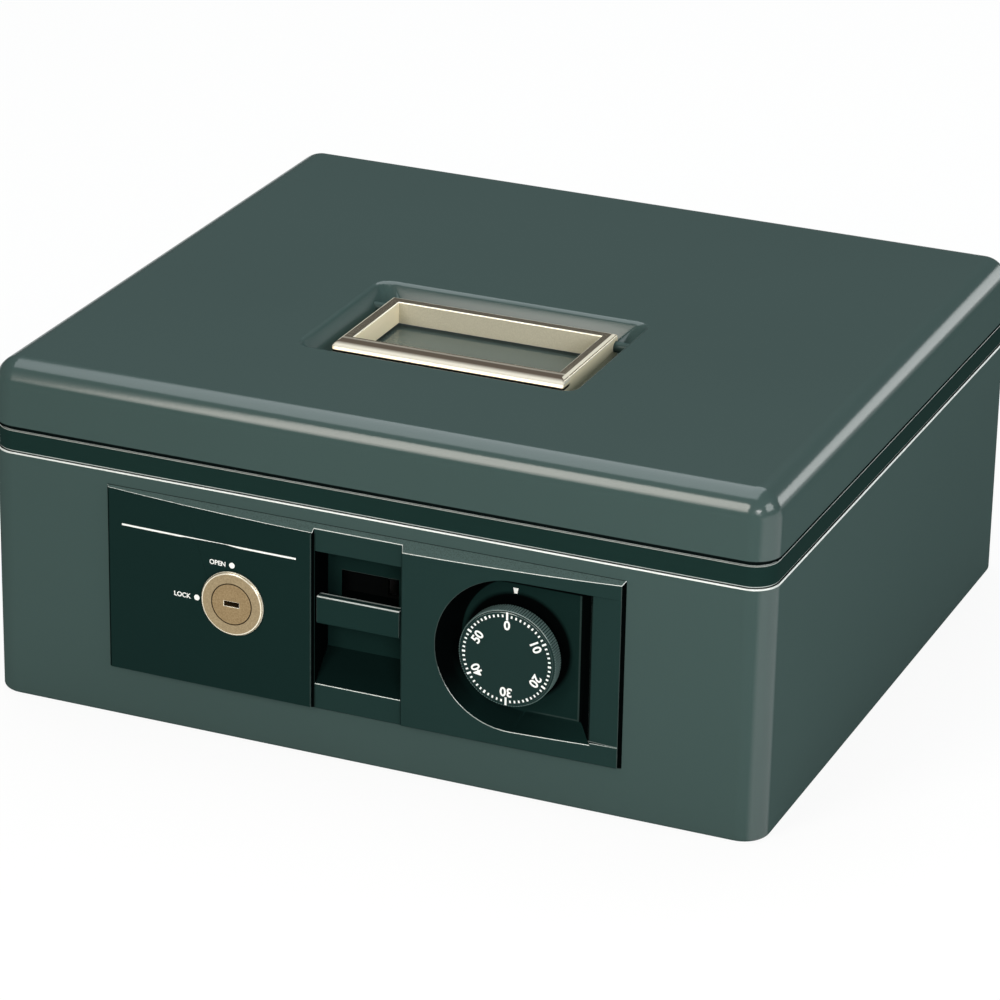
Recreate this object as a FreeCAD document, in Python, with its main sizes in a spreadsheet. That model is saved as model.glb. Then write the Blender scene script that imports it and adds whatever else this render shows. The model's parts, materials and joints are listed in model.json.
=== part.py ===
import FreeCAD, Part
import os
import re

import Sketcher
from FreeCAD import Placement, Rotation, Vector

# Cash box: a painted steel box with a hinged lid, a folding carrying handle let into the
# lid, and a lock panel with a key cylinder, a number dial and a finger lever.
# Millimetres. Origin at the middle of the base, +Z up, the lock panel faces -Y.

# Driving dimensions. "_out" counts outwards from the front wall, "_in" inwards from it.
SIZES = {
    # steel box
    "box_width": 300, "box_depth": 270, "box_height": 130, "lid_height": 24.9,
    "lid_gap": 1.1, "corner_radius": 10, "lid_edge_radius": 9.7, "base_edge_radius": 1.5,
    "body_roll_radius": 0.8, "sheet_thickness": 1.2,
    # clearances
    "fit_gap": 0.3, "running_gap": 0.05, "overcut": 1, "bore_reach": 60,
    # dark rim between body and lid
    "rim_height": 8, "rim_inset": 0.6, "rim_width": 9, "rim_skirt_depth": 4,
    "rim_skirt_thickness": 2, "rim_bevel": 0.5, "rim_lip_height": 4.5, "rim_lip_thickness": 1.6,
    "rim_lip_gap": 1.2,
    # rear hinges
    "hinge_spacing": 180, "hinge_length": 48, "hinge_axis_gap": 2.6, "knuckle_radius": 2.3,
    "hinge_pin_radius": 1.25, "leaf_thickness": 0.9, "body_leaf_height": 24,
    "lid_leaf_height": 13, "rivet_edge": 4.6,
    "hinge_rivet_radius": 1.5, "rivet_head_radius": 2.8, "rivet_head_height": 1.0,
    # lock panel
    "panel_center_x": -1.8, "panel_width": 199.8, "panel_top_gap": 5.15, "panel_height": 71.7,
    "panel_edge_out": 1.4, "panel_middle_out": 3.1, "panel_top_slope": 1.35,
    "panel_bottom_slope": 0.35, "panel_wall": 2, "legend_thickness": 0.6,
    "boss_radius": 4, "boss_in": 11.3, "boss_left_x": -71.8, "boss_right_x": 80.2,
    "boss_reach_z": 26,
    # finger pocket and lever
    "pocket_center_x": -2.45, "pocket_width": 33.1, "pocket_drop": 26, "pocket_rise": 25.4,
    "pocket_depth": 10.7, "channel_margin": 0.4, "channel_flare": 1.1,
    "lever_rise": 2.95, "lever_height": 10.5, "lever_thickness": 3.8, "lever_side_gap": 0.5,
    "lever_edge_radius": 0.8, "lever_travel": 7.5, "slot_headroom": 1.6, "stem_width": 20, "stem_height": 6,
    # dial and its well
    "dial_center_x": 55.9, "lock_drop": 0.1, "dial_radius": 18, "dial_height": 6,
    "dial_face_out": 4.6, "dial_edge_radius": 0.6, "dial_neck_radius": 11, "well_floor_in": 4,
    "well_mouth_out": 3.2, "well_left": 27.55, "well_right": 87.9, "well_rise": 28.4,
    "well_radius": 29.1, "well_wall_run": 7, "strip_sink": 0.9,
    "spindle_radius": 3, "bush_radius": 6, "bush_flange_radius": 9, "bush_flange_thickness": 1.5,
    # key cylinder
    "cylinder_center_x": -50.5, "flange_radius": 12.25,
    "flange_thickness": 1.3, "flange_bevel": 0.6, "barrel_radius": 9.5, "plug_radius": 7.75,
    "key_slot_width": 6, "key_slot_height": 1.9, "key_slot_depth": 14, "tail_radius": 3,
    "nut_across": 25, "nut_thickness": 4, "cam_length": 22, "cam_width": 8,
    "cam_screw_radius": 4, "cam_screw_height": 2,
    # lock works behind the panel
    "plate_thickness": 1.5, "plate_left": 78, "plate_right": 86, "plate_drop": 35,
    "plate_rise": 31, "slide_width": 28, "slide_drop": 34, "slide_rise": 24,
    "guide_radius": 2.5, "guide_head_radius": 4.2, "guide_head_thickness": 1.2,
    "guide_drop": 13, "guide_rise": 17, "guide_shift": 8, "arm_height": 6, "fence_width": 4,
    "fence_height": 4, "wheel_radius": 16, "wheel_thickness": 2, "wheel_gap": 0.4,
    "gate_width": 5, "gate_depth": 4, "spindle_nut_radius": 5.5, "spindle_nut_thickness": 3,
    "drive_pin_radius": 2, "pawl_pivot_x": 16.5, "pawl_pivot_rise": 25, "pawl_pin_radius": 2.5,
    "pawl_arm_width": 8, "pawl_nose_rise": 1, "pawl_nose_height": 3, "pawl_clear": 0.4,
    "strike_width": 22, "strike_drop": 2, "strike_flange": 16,
    "spring_radius": 2.6, "spring_wire": 0.9, "spring_x": 17, "spring_drop": 11,
    "spring_rise": 10.5, "spring_post_radius": 1.5, "plate_screw_radius": 3,
    "plate_screw_height": 2, "screw_shank_radius": 1.5, "screw_shank_length": 6,
    # cover over the lock works
    "case_thickness": 1, "case_left": 84, "case_right": 90, "case_drop": 38, "case_gap": 0.5,
    "case_in": 28, "case_flange": 7, "case_rivet_spread": 56, "case_slot_depth": 7, "case_slot_margin": 2,
    # lid recess and handle
    "recess_center_x": -2.5, "handle_center_y": -34.6, "recess_side_gap": 9.05,
    "recess_front_gap": 11.5, "recess_back_gap": 9.5, "handle_under": 1.2, "recess_run": 7.4,
    "recess_corner": 6, "recess_mouth_radius": 2.5, "handle_width": 90.5, "handle_length": 53.4,
    "handle_height": 8.5, "handle_bar": 4.6, "handle_front_bar": 8.7, "handle_slant_run": 2.3,
    "handle_slant_drop": 5.2, "handle_drop": 1.9, "handle_bevel": 0.7,
    "handle_pin_radius": 2, "handle_pin_seat": 4, "handle_pin_end": 0.45,
    # coin tray
    "tray_side_gap": 2.4, "tray_front_gap": 9, "tray_back_gap": 3.4, "tray_depth": 32, "tray_wall": 2,
    "tray_seat": 2.6, "tray_flange_thickness": 1.5, "cup_length": 96, "cup_rise": 16,
}
CUPS = 4
NOTE_WELLS = 2
SPRING_TURNS = 15

# Levels and places that follow from the driving dimensions. The heights stack down from the top
# of the lid, the lock hangs from the body's edge, the recess takes the handle and the tray fits in
# the rim's mouth.
WORKED_OUT = {
    "lid_bottom": "box_height-lid_height",
    "rim_top": "lid_bottom-lid_gap",
    "body_height": "rim_top-rim_height",
    "lid_roll": "min(lid_edge_radius;corner_radius-fit_gap)",
    "panel_center_z": "body_height-panel_top_gap-panel_height/2",
    "cylinder_center_z": "panel_center_z-lock_drop",
    "dial_center_z": "panel_center_z-lock_drop",
    "lever_center_z": "panel_center_z+lever_rise",
    "pocket_bottom": "panel_center_z-pocket_drop",
    "pocket_top": "panel_center_z+pocket_rise",
    "well_top": "panel_center_z+well_rise",
    "plate_bottom": "panel_center_z-plate_drop",
    "plate_top": "panel_center_z+plate_rise",
    "slide_bottom": "panel_center_z-slide_drop",
    "slide_top": "panel_center_z+slide_rise",
    "guide_low_z": "panel_center_z-guide_drop",
    "guide_high_z": "panel_center_z+guide_rise",
    "spring_low_z": "panel_center_z-spring_drop",
    "spring_high_z": "panel_center_z+spring_rise",
    "pawl_pivot_z": "panel_center_z+pawl_pivot_rise",
    "pawl_nose_bottom": "body_height+pawl_nose_rise",
    "pawl_nose_top": "pawl_nose_bottom+pawl_nose_height",
    "strike_bottom": "body_height-strike_drop",
    "case_bottom": "panel_center_z-case_drop",
    "case_top": "body_height-rim_skirt_depth-case_gap",
    "recess_width": "handle_width+2*recess_side_gap",
    "recess_length": "handle_length+recess_front_gap+recess_back_gap",
    "recess_center_y": "handle_center_y+(recess_back_gap-recess_front_gap)/2",
    "recess_depth": "handle_height+handle_drop+handle_under",
    "handle_pin_reach": "recess_side_gap+handle_pin_end",
    "mouth_width": "box_width-2*(rim_inset+rim_width)",
    "tray_width": "mouth_width-2*tray_side_gap",
    "tray_front": "-box_depth/2+case_in+tray_front_gap",
    "tray_back": "box_depth/2-rim_inset-rim_width-tray_back_gap",
    "tray_flange_width": "tray_side_gap+tray_seat",
}
NAME = r"[a-z_]+"
# two edges this close count as lying together
TOUCH = 0.01

doc = FreeCAD.newDocument("cash_box")
sheet = doc.addObject("Spreadsheet::Sheet", "Sizes")
for row, (alias, size) in enumerate(SIZES.items(), 1):
    sheet.set(f"A{row}", alias.replace("_", " "))
    sheet.set(f"B{row}", str(size))
    sheet.setAlias(f"B{row}", alias)
doc.recompute()

subparts = []


def spelled(text):
    """The expression with each worked-out name spelled in driving dimensions."""
    return re.sub(NAME, lambda m: f"({spelled(WORKED_OUT[m[0]])})" if m[0] in WORKED_OUT else m[0], text)


def bound(text):
    """The expression with each size's name pointing at its cell."""
    return re.sub(NAME, lambda m: "Sizes." + m[0] if m[0] in SIZES else m[0], spelled(text))


def number(text):
    """The value that an expression has now."""
    return float(sheet.evalExpression(spelled(text)))


def out(distance):
    """The Y of a plane that stands outwards from the front wall's outer face."""
    return f"(-box_depth/2-({distance}))"


def inward(distance):
    """The Y of a plane that lies inwards from the front wall's outer face."""
    return f"(-box_depth/2+({distance}))"


def middle(center, width):
    """The low and high end of a width about its centre."""
    return f"({center})-({width})/2", f"({center})+({width})/2"


def box(name, x, y, z):
    """A block between three pairs of expressions."""
    solid = doc.addObject("Part::Box", name)
    for side, axis, (low, high) in zip(("Length", "Width", "Height"), "xyz", (x, y, z)):
        solid.setExpression(side, bound(f"({high})-({low})"))
        solid.setExpression(f"Placement.Base.{axis}", bound(low))
    return solid


TURNS = {"x": Rotation(Vector(0, 1, 0), 90), "y": Rotation(Vector(1, 0, 0), -90), "z": Rotation()}


def rod(name, axis, center, radius, low, high):
    """A cylinder along an axis; center holds the two other coordinates in order."""
    solid = doc.addObject("Part::Cylinder", name)
    solid.Placement = Placement(Vector(), TURNS[axis])
    solid.setExpression("Radius", bound(radius))
    solid.setExpression("Height", bound(f"({high})-({low})"))
    solid.setExpression(f"Placement.Base.{axis}", bound(low))
    for other, place in zip("xyz".replace(axis, ""), center):
        solid.setExpression(f"Placement.Base.{other}", bound(place))
    return solid


def draw(body, name, plane, outline, offset="0"):
    """A sketch whose corners are held by expressions. A corner marked "arc" is a point that the
    arc between its two neighbours passes through."""
    sketch = body.newObject("Sketcher::SketchObject", name)
    support = next(o for o in body.Origin.OriginFeatures if o.Role == plane)
    sketch.AttachmentSupport = (support, [""])
    sketch.MapMode = "FlatFace"
    sketch.setExpression("AttachmentOffset.Base.z", bound(offset))
    places = [Vector(number(p[0]), number(p[1]), 0) for p in outline]
    corners = [i for i, p in enumerate(outline) if len(p) == 2]

    def hold(geometry, which, place):
        for kind, text in zip(("DistanceX", "DistanceY"), place):
            limit = Sketcher.Constraint(kind, -1, 1, geometry, which, number(text))
            index = sketch.addConstraint(limit)
            sketch.setExpression(f"Constraints[{index}]", bound(text))

    edges = []
    for here, there in zip(corners, corners[1:] + corners[:1]):
        via = (here + 1) % len(outline)
        if via == there:
            edges.append(sketch.addGeometry(Part.LineSegment(places[here], places[there])))
            continue
        arc = Part.Arc(places[here], places[via], places[there])
        edges.append(sketch.addGeometry(arc))
        point = sketch.addGeometry(Part.Point(places[via]), True)
        sketch.addConstraint(Sketcher.Constraint("PointOnObject", point, 1, edges[-1]))
        hold(point, 1, outline[via])
    ends = {}
    for index, edge in enumerate(edges):
        start, end = places[corners[index]], places[corners[(index + 1) % len(corners)]]
        first = Vector(sketch.getPoint(edge, 1))
        ends[edge] = (1, 2) if first.distanceToPoint(start) < first.distanceToPoint(end) else (2, 1)
    for index, edge in enumerate(edges):
        following = edges[(index + 1) % len(edges)]
        join = Sketcher.Constraint("Coincident", edge, ends[edge][1], following, ends[following][0])
        sketch.addConstraint(join)
        hold(edge, ends[edge][0], outline[corners[index]])
    return sketch


def frame(x, y):
    """The four corners of a rectangle."""
    return [(x[0], y[0]), (x[1], y[0]), (x[1], y[1]), (x[0], y[1])]


# sign of the sketch normal along the axis that the plane lacks
NORMALS = {"XY_Plane": 1, "XZ_Plane": -1, "YZ_Plane": 1}


def prism(name, plane, outline, low, high, taper=None):
    """A body padded from an outline, between two places on the plane's own axis."""
    body = doc.addObject("PartDesign::Body", name)
    start = low if NORMALS[plane] > 0 else f"-({high})"
    sketch = draw(body, name + "_outline", plane, outline, start)
    pad = body.newObject("PartDesign::Pad", name + "_pad")
    pad.Profile = sketch
    pad.setExpression("Length", bound(f"({high})-({low})"))
    if taper:
        pad.setExpression("TaperAngle", bound(taper))
    doc.recompute()
    return body


def turned(name, plane, outline, center):
    """A body turned about the upright axis of its sketch; center is the place of that axis."""
    body = doc.addObject("PartDesign::Body", name)
    profile = draw(body, name + "_profile", plane, outline)
    lathe = body.newObject("PartDesign::Revolution", name + "_lathe")
    lathe.Profile = profile
    lathe.ReferenceAxis = (profile, ["V_Axis"])
    lathe.Angle = 360
    for axis, place in zip("xyz", center):
        body.setExpression(f"Placement.Base.{axis}", bound(place))
    return body


def round_off(body, radius, pick, kind="Fillet"):
    """A fillet or chamfer on the edges that pick chooses by their middle and bounding box."""
    base = body.Tip
    feature = body.newObject("PartDesign::" + kind, f"{body.Name}_{kind.lower()}")
    names = [f"Edge{i}" for i, edge in enumerate(base.Shape.Edges, 1) if pick(edge.BoundBox)]
    feature.Base = (base, names)
    feature.setExpression("Radius" if kind == "Fillet" else "Size", bound(radius))
    doc.recompute()
    return body


def upright(extent):
    return extent.XLength < TOUCH and extent.YLength < TOUCH


def level_at(height):
    """Picks the edges that lie at a height."""
    place = number(height)
    return lambda extent: extent.ZLength < TOUCH and abs(extent.ZMin - place) < TOUCH


def block(name, inset, z, radius):
    """The box's plan, drawn in by inset, with rounded upright corners."""
    x = f"-box_width/2+({inset})", f"box_width/2-({inset})"
    y = f"-box_depth/2+({inset})", f"box_depth/2-({inset})"
    return round_off(prism(name, "XY_Plane", frame(x, y), *z), radius, upright)


def cut(name, base, *tools):
    """The base with each tool taken away in turn."""
    for count, tool in enumerate(tools):
        feature = doc.addObject("Part::Cut", f"{name}_less_{count}")
        feature.Base, feature.Tool = base, tool
        base = feature
    return base


def join(name, *solids):
    """The solids fused to one piece."""
    feature = doc.addObject("Part::MultiFuse", name + "_whole")
    feature.Shapes = solids
    feature.Refine = True
    return feature


def group(name, solids):
    """Like pieces kept as separate solids of one node."""
    feature = doc.addObject("Part::Compound", name + "_set")
    feature.Links = solids
    return feature


def keep(node, feature):
    """Names a finished sub-part after its file."""
    feature.Label = node
    subparts.append(feature)


WALL_INSIDE = inward("sheet_thickness")
SIDES = {"left": "-1", "right": "1"}
THROUGH = out("bore_reach"), inward("bore_reach")
REAR_BORE = "box_depth/2-sheet_thickness-overcut", "box_depth/2+leaf_thickness+overcut"

# Places along Y of the layers behind the panel
PLATE_FRONT = inward("boss_in")
PLATE_BACK = inward("boss_in+plate_thickness")
LAYER_FRONT = inward("boss_in+plate_thickness+fit_gap")
LAYER_BACK = inward("boss_in+2*plate_thickness+fit_gap")
PAWL_FRONT = inward("boss_in+2*plate_thickness+2*fit_gap")
PAWL_BACK = inward("boss_in+3*plate_thickness+2*fit_gap")

PANEL_X = middle("panel_center_x", "panel_width")
PANEL_Z = middle("panel_center_z", "panel_height")
POCKET_X = middle("pocket_center_x", "pocket_width")
POCKET_BACK = "pocket_depth-panel_edge_out"
STEM_X = middle("pocket_center_x", "stem_width")
STEM_Z = middle("lever_center_z", "stem_height")
DIAL = "dial_center_x", "dial_center_z"
CYLINDER = "cylinder_center_x", "cylinder_center_z"
WELL_BACK = "well_floor_in+panel_wall"
BOSSES = {
    "left_low": ("boss_left_x", "panel_center_z-boss_reach_z"),
    "left_high": ("boss_left_x", "panel_center_z+boss_reach_z"),
    "right_low": ("boss_right_x", "panel_center_z-boss_reach_z"),
    "right_high": ("boss_right_x", "panel_center_z+boss_reach_z"),
}
CASE_RIVETS = [
    (place, f"panel_center_z{sign}case_rivet_spread/2")
    for place in ("-case_left-case_flange/2", "case_right+case_flange/2")
    for sign in "+-"
]
TUB_X = f"({POCKET_X[0]})-panel_wall", "well_right-well_wall_run/2+panel_wall"
TUB_Z = "well_top-2*well_radius+well_wall_run/2-panel_wall", "well_top+panel_wall"
HINGE_Y = "box_depth/2+hinge_axis_gap"
HINGE_Z = "(rim_top+lid_bottom)/2"
HINGE_RIVETS_X = [f"{s}*hinge_spacing/2{t}hinge_length/4" for s in SIDES.values() for t in "+-"]
HINGE_RIVETS_Z = {"body": f"{HINGE_Z}-body_leaf_height+rivet_edge",
                  "lid": f"{HINGE_Z}+lid_leaf_height-rivet_edge"}


def make_body_shell():
    """Drawn steel box, open at the top, with the cut-outs that the lock panel needs."""
    outer = block("body_outer", "0", ("0", "body_height"), "corner_radius")
    round_off(outer, "base_edge_radius", level_at("0"))
    round_off(outer, "body_roll_radius", level_at("body_height"))
    inner = block("body_inner", "sheet_thickness", ("sheet_thickness", "body_height+overcut"),
                  "corner_radius-sheet_thickness")
    through = out("overcut"), inward("sheet_thickness+overcut")
    window = box("body_window", (f"{TUB_X[0]}-fit_gap", f"{TUB_X[1]}+fit_gap"), through,
                 (f"{TUB_Z[0]}-fit_gap", f"{TUB_Z[1]}+fit_gap"))
    holes = [rod("body_barrel_hole", "y", CYLINDER, "barrel_radius+fit_gap", *through)]
    for corner in ("left_low", "left_high"):
        holes.append(rod(f"body_boss_hole_{corner}", "y", BOSSES[corner], "boss_radius+fit_gap",
                         *through))
    for count, place in enumerate(CASE_RIVETS):
        holes.append(rod(f"body_case_hole_{count}", "y", place, "screw_shank_radius+running_gap",
                         *through))
    for count, x in enumerate(HINGE_RIVETS_X):
        holes.append(rod(f"body_hinge_hole_{count}", "y", (x, HINGE_RIVETS_Z["body"]),
                         "hinge_rivet_radius+running_gap", *REAR_BORE))
    keep("body_shell", cut("body_shell", outer, inner, window, *holes))


def make_rim_frame():
    """Dark moulded rim on the body's edge: a skirt drops inside the wall, a lip stands in the lid."""
    inner_edge = "rim_inset+rim_width"
    ring = block("rim_ring", "rim_inset", ("body_height", "rim_top"), "corner_radius-rim_inset")
    round_off(ring, "rim_bevel", level_at("body_height"), "Chamfer")
    round_off(ring, "rim_bevel", level_at("rim_top"))
    skirt_z = "body_height-rim_skirt_depth", "body_height+overcut"
    skirt = block("rim_skirt", "sheet_thickness+fit_gap", skirt_z,
                  "corner_radius-sheet_thickness-fit_gap")
    skirt_hole = block("rim_skirt_hole", "sheet_thickness+fit_gap+rim_skirt_thickness",
                       ("body_height-rim_skirt_depth-overcut", "body_height"),
                       "corner_radius-sheet_thickness-fit_gap-rim_skirt_thickness")
    mouth = box("rim_mouth", ("-mouth_width/2", "mouth_width/2"),
                (f"-box_depth/2+{inner_edge}", f"box_depth/2-({inner_edge})"),
                ("body_height-rim_skirt_depth-overcut", "box_height"))
    skirt_ring = cut("rim_skirt_ring", skirt, skirt_hole)
    lip_inset = "sheet_thickness+rim_lip_gap"
    lip_z = "body_height+overcut", "rim_top+rim_lip_height"
    lip = block("rim_lip", lip_inset, lip_z, f"corner_radius-({lip_inset})")
    lip_hole = block("rim_lip_hole", f"{lip_inset}+rim_lip_thickness", ("rim_top", "box_height"),
                     f"corner_radius-({lip_inset})-rim_lip_thickness")
    lip_ring = cut("rim_lip_ring", lip, lip_hole)
    keep("rim_frame", cut("rim_frame", join("rim_frame", ring, skirt_ring, lip_ring), mouth))


def make_bowed_face(name, drawn_in):
    """The panel's bowed front: an arc in plan, steep at the top edge, drawn in by a thickness."""
    edge = f"(panel_edge_out-{drawn_in})"
    low, high = PANEL_X
    plan = [(low, out("0")), (f"{low}+{edge}", out(edge)),
            ("panel_center_x", out(f"panel_middle_out-{drawn_in}"), "arc"),
            (f"{high}-{edge}", out(edge)), (high, out("0"))]
    face = prism(name, "XY_Plane", plan, *PANEL_Z)
    reach = "panel_middle_out+overcut"
    top = [(out("0"), PANEL_Z[1]), (out(reach), f"{PANEL_Z[1]}-panel_top_slope*({reach})"),
           (out(reach), f"{PANEL_Z[1]}+overcut"), (out("0"), f"{PANEL_Z[1]}+overcut")]
    bottom = [(out("0"), PANEL_Z[0]), (out(reach), f"{PANEL_Z[0]}+panel_bottom_slope*({reach})"),
              (out(reach), f"{PANEL_Z[0]}-overcut"), (out("0"), f"{PANEL_Z[0]}-overcut")]
    wedges = [prism(f"{name}_{side}", "YZ_Plane", shape, f"{low}-overcut", f"{high}+overcut")
              for side, shape in (("top", top), ("bottom", bottom))]
    return cut(name, face, *wedges)


def d_outline(left, right, radius):
    """A half round on the left that runs into straight sides, flush with the well's top."""
    center_z = f"well_top-({radius})"
    return [(f"{left}+{radius}", "well_top"), (left, center_z, "arc"),
            (f"{left}+{radius}", f"well_top-2*({radius})"), (right, f"well_top-2*({radius})"),
            (right, "well_top")]


def make_dial_well():
    """The D-shaped well round the dial: square at the top, sloping in on the other sides."""
    body = doc.addObject("PartDesign::Body", "dial_well")
    mouth = draw(body, "well_mouth", "XZ_Plane",
                 d_outline("well_left", "well_right", "well_radius"),
                 "box_depth/2+well_mouth_out")
    floor = draw(body, "well_floor", "XZ_Plane",
                 d_outline("(well_left+well_wall_run)", "well_right-well_wall_run",
                           "(well_radius-well_wall_run/2)"), "box_depth/2-well_floor_in")
    loft = body.newObject("PartDesign::AdditiveLoft", "well_walls")
    loft.Profile = mouth
    loft.Sections = [floor]
    loft.Ruled = True
    doc.recompute()
    return body


def make_lock_panel():
    """Moulded lock panel: a bowed bezel with a tub behind it for the finger pocket and dial,
    and a thin dark plate let into its left field."""
    face = make_bowed_face("panel_face", "0")
    core = make_bowed_face("panel_core", "legend_thickness")
    channel_x = f"{POCKET_X[0]}-channel_margin", f"{POCKET_X[1]}+channel_margin"
    reach = out("panel_middle_out+overcut")
    channel = prism("panel_channel", "XY_Plane", [
        (channel_x[0], out("panel_edge_out")), (f"{channel_x[0]}-channel_flare", reach),
        (f"{channel_x[1]}+channel_flare", reach), (channel_x[1], out("panel_edge_out"))],
        f"{PANEL_Z[0]}-overcut", f"{PANEL_Z[1]}+overcut")
    left_field = box("legend_field", (f"{PANEL_X[0]}-overcut", "pocket_center_x"), (reach, out("0")),
                     (f"{PANEL_Z[0]}-overcut", f"{PANEL_Z[1]}+overcut"))
    skin = doc.addObject("Part::Common", "legend_skin")
    skin.Base, skin.Tool = cut("panel_skin", face, core), left_field
    barrel_hole = rod("panel_barrel_hole", "y", CYLINDER, "barrel_radius+fit_gap",
                      *THROUGH)
    legend = cut("legend_plate", skin, channel, barrel_hole)

    tub = box("panel_tub", TUB_X, (out("0"), inward(WELL_BACK)), TUB_Z)
    deep_tub = box("panel_deep_tub", (TUB_X[0], f"{POCKET_X[1]}+panel_wall"),
                   (out("0"), inward("boss_in")), TUB_Z)
    boss_roots = {"left": out("0"), "right": inward("well_floor_in")}
    bosses = [rod(f"panel_boss_{corner}", "y", place, "boss_radius",
                  boss_roots[corner.split("_")[0]], inward("boss_in"))
              for corner, place in BOSSES.items()]
    screw_holes = [rod(f"panel_screw_hole_{corner}", "y", place, "screw_shank_radius",
                       inward("boss_in-screw_shank_length"), inward("boss_in+overcut"))
                   for corner, place in BOSSES.items()]
    pocket = prism("finger_pocket", "YZ_Plane", [
        (reach, "pocket_bottom-panel_middle_out-overcut+panel_edge_out"),
        (inward(POCKET_BACK), "pocket_bottom+pocket_depth"),
        (inward(POCKET_BACK), "pocket_top"), (reach, "pocket_top")], *POCKET_X)
    slot = box("stem_slot", (f"{STEM_X[0]}-overcut", f"{STEM_X[1]}+overcut"),
               (inward(f"{POCKET_BACK}-overcut"), inward("boss_in+overcut")),
               (f"{STEM_Z[0]}-fit_gap", f"{STEM_Z[1]}+lever_travel+slot_headroom"))
    strip_low = "well_right-well_wall_run/3"
    strip = prism("panel_strip", "XY_Plane", [
        (strip_low, out("panel_edge_out-strip_sink")),
        (f"{PANEL_X[1]}-panel_edge_out", out("panel_edge_out")),
        (f"{PANEL_X[1]}-panel_edge_out", reach), (strip_low, reach)],
        "well_top-2*well_radius+well_wall_run/3", "well_top")
    spindle_hole = rod("panel_spindle_hole", "y", DIAL, "bush_radius+running_gap",
                       inward("well_floor_in-overcut"), inward(f"{WELL_BACK}+overcut"))
    whole = join("lock_panel", face, tub, deep_tub, *bosses)
    keep("lock_panel", cut("lock_panel", whole, legend, channel, pocket, slot, make_dial_well(), strip,
                           spindle_hole, barrel_hole, *screw_holes))
    keep("legend_plate", legend)


def make_key_cylinder():
    """Key cylinder: flanged barrel, nut, turning plug with its key slot, cam and cam screw."""
    edge = "(cylinder_center_x+flange_radius-panel_center_x)/(panel_width/2)"
    seat = f"(panel_middle_out-(panel_middle_out-panel_edge_out)*pow({edge};2)+running_gap)"
    front = out(f"{seat}+flange_thickness")
    barrel_end = inward("boss_in+plate_thickness")
    flange = turned("cylinder_flange", "XY_Plane", [
        ("barrel_radius-overcut", out(seat)), ("flange_radius", out(seat)),
        ("flange_radius", out(f"{seat}+flange_thickness-flange_bevel")),
        ("flange_radius-flange_bevel", front), ("barrel_radius-overcut", front)],
        (CYLINDER[0], "0", CYLINDER[1]))
    barrel = rod("cylinder_barrel", "y", CYLINDER, "barrel_radius", front, barrel_end)
    bore = rod("cylinder_bore", "y", CYLINDER, "plug_radius+running_gap", *THROUGH)
    keep("lock_cylinder", cut("lock_cylinder", join("lock_cylinder", flange, barrel), bore))

    corners = [(f"cylinder_center_x+nut_across/sqrt(3)*cos({60 * k})",
                f"cylinder_center_z+nut_across/sqrt(3)*sin({60 * k})") for k in range(6)]
    nut = prism("nut_blank", "XZ_Plane", corners, WALL_INSIDE,
                inward("sheet_thickness+nut_thickness"))
    nut_hole = rod("cylinder_nut_hole", "y", CYLINDER, "barrel_radius+running_gap",
                   *THROUGH)
    keep("cylinder_nut", cut("cylinder_nut", nut, nut_hole))

    plug = rod("plug_body", "y", CYLINDER, "plug_radius", front, barrel_end)
    tail = rod("plug_tail", "y", CYLINDER, "tail_radius", barrel_end, LAYER_BACK)
    slot = box("key_slot", middle(CYLINDER[0], "key_slot_width"),
               (THROUGH[0], f"{front}+key_slot_depth"), middle(CYLINDER[1], "key_slot_height"))
    keep("lock_plug", cut("lock_plug", join("lock_plug", plug, tail), slot))

    low, high = middle(CYLINDER[1], "cam_width")
    tip = f"{CYLINDER[0]}+cam_length"
    blade = prism("cam_blade", "XZ_Plane", [
        (CYLINDER[0], high), (f"{CYLINDER[0]}-cam_width/2", CYLINDER[1], "arc"),
        (CYLINDER[0], low), (tip, low), (tip, high)], LAYER_FRONT, LAYER_BACK)
    cam_hole = rod("cam_hole", "y", CYLINDER, "tail_radius", PLATE_BACK, THROUGH[1])
    keep("lock_cam", cut("lock_cam", blade, cam_hole))
    keep("cam_screw", rod("cam_screw", "y", CYLINDER, "cam_screw_radius", LAYER_BACK,
                          f"{LAYER_BACK}+cam_screw_height"))


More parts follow.
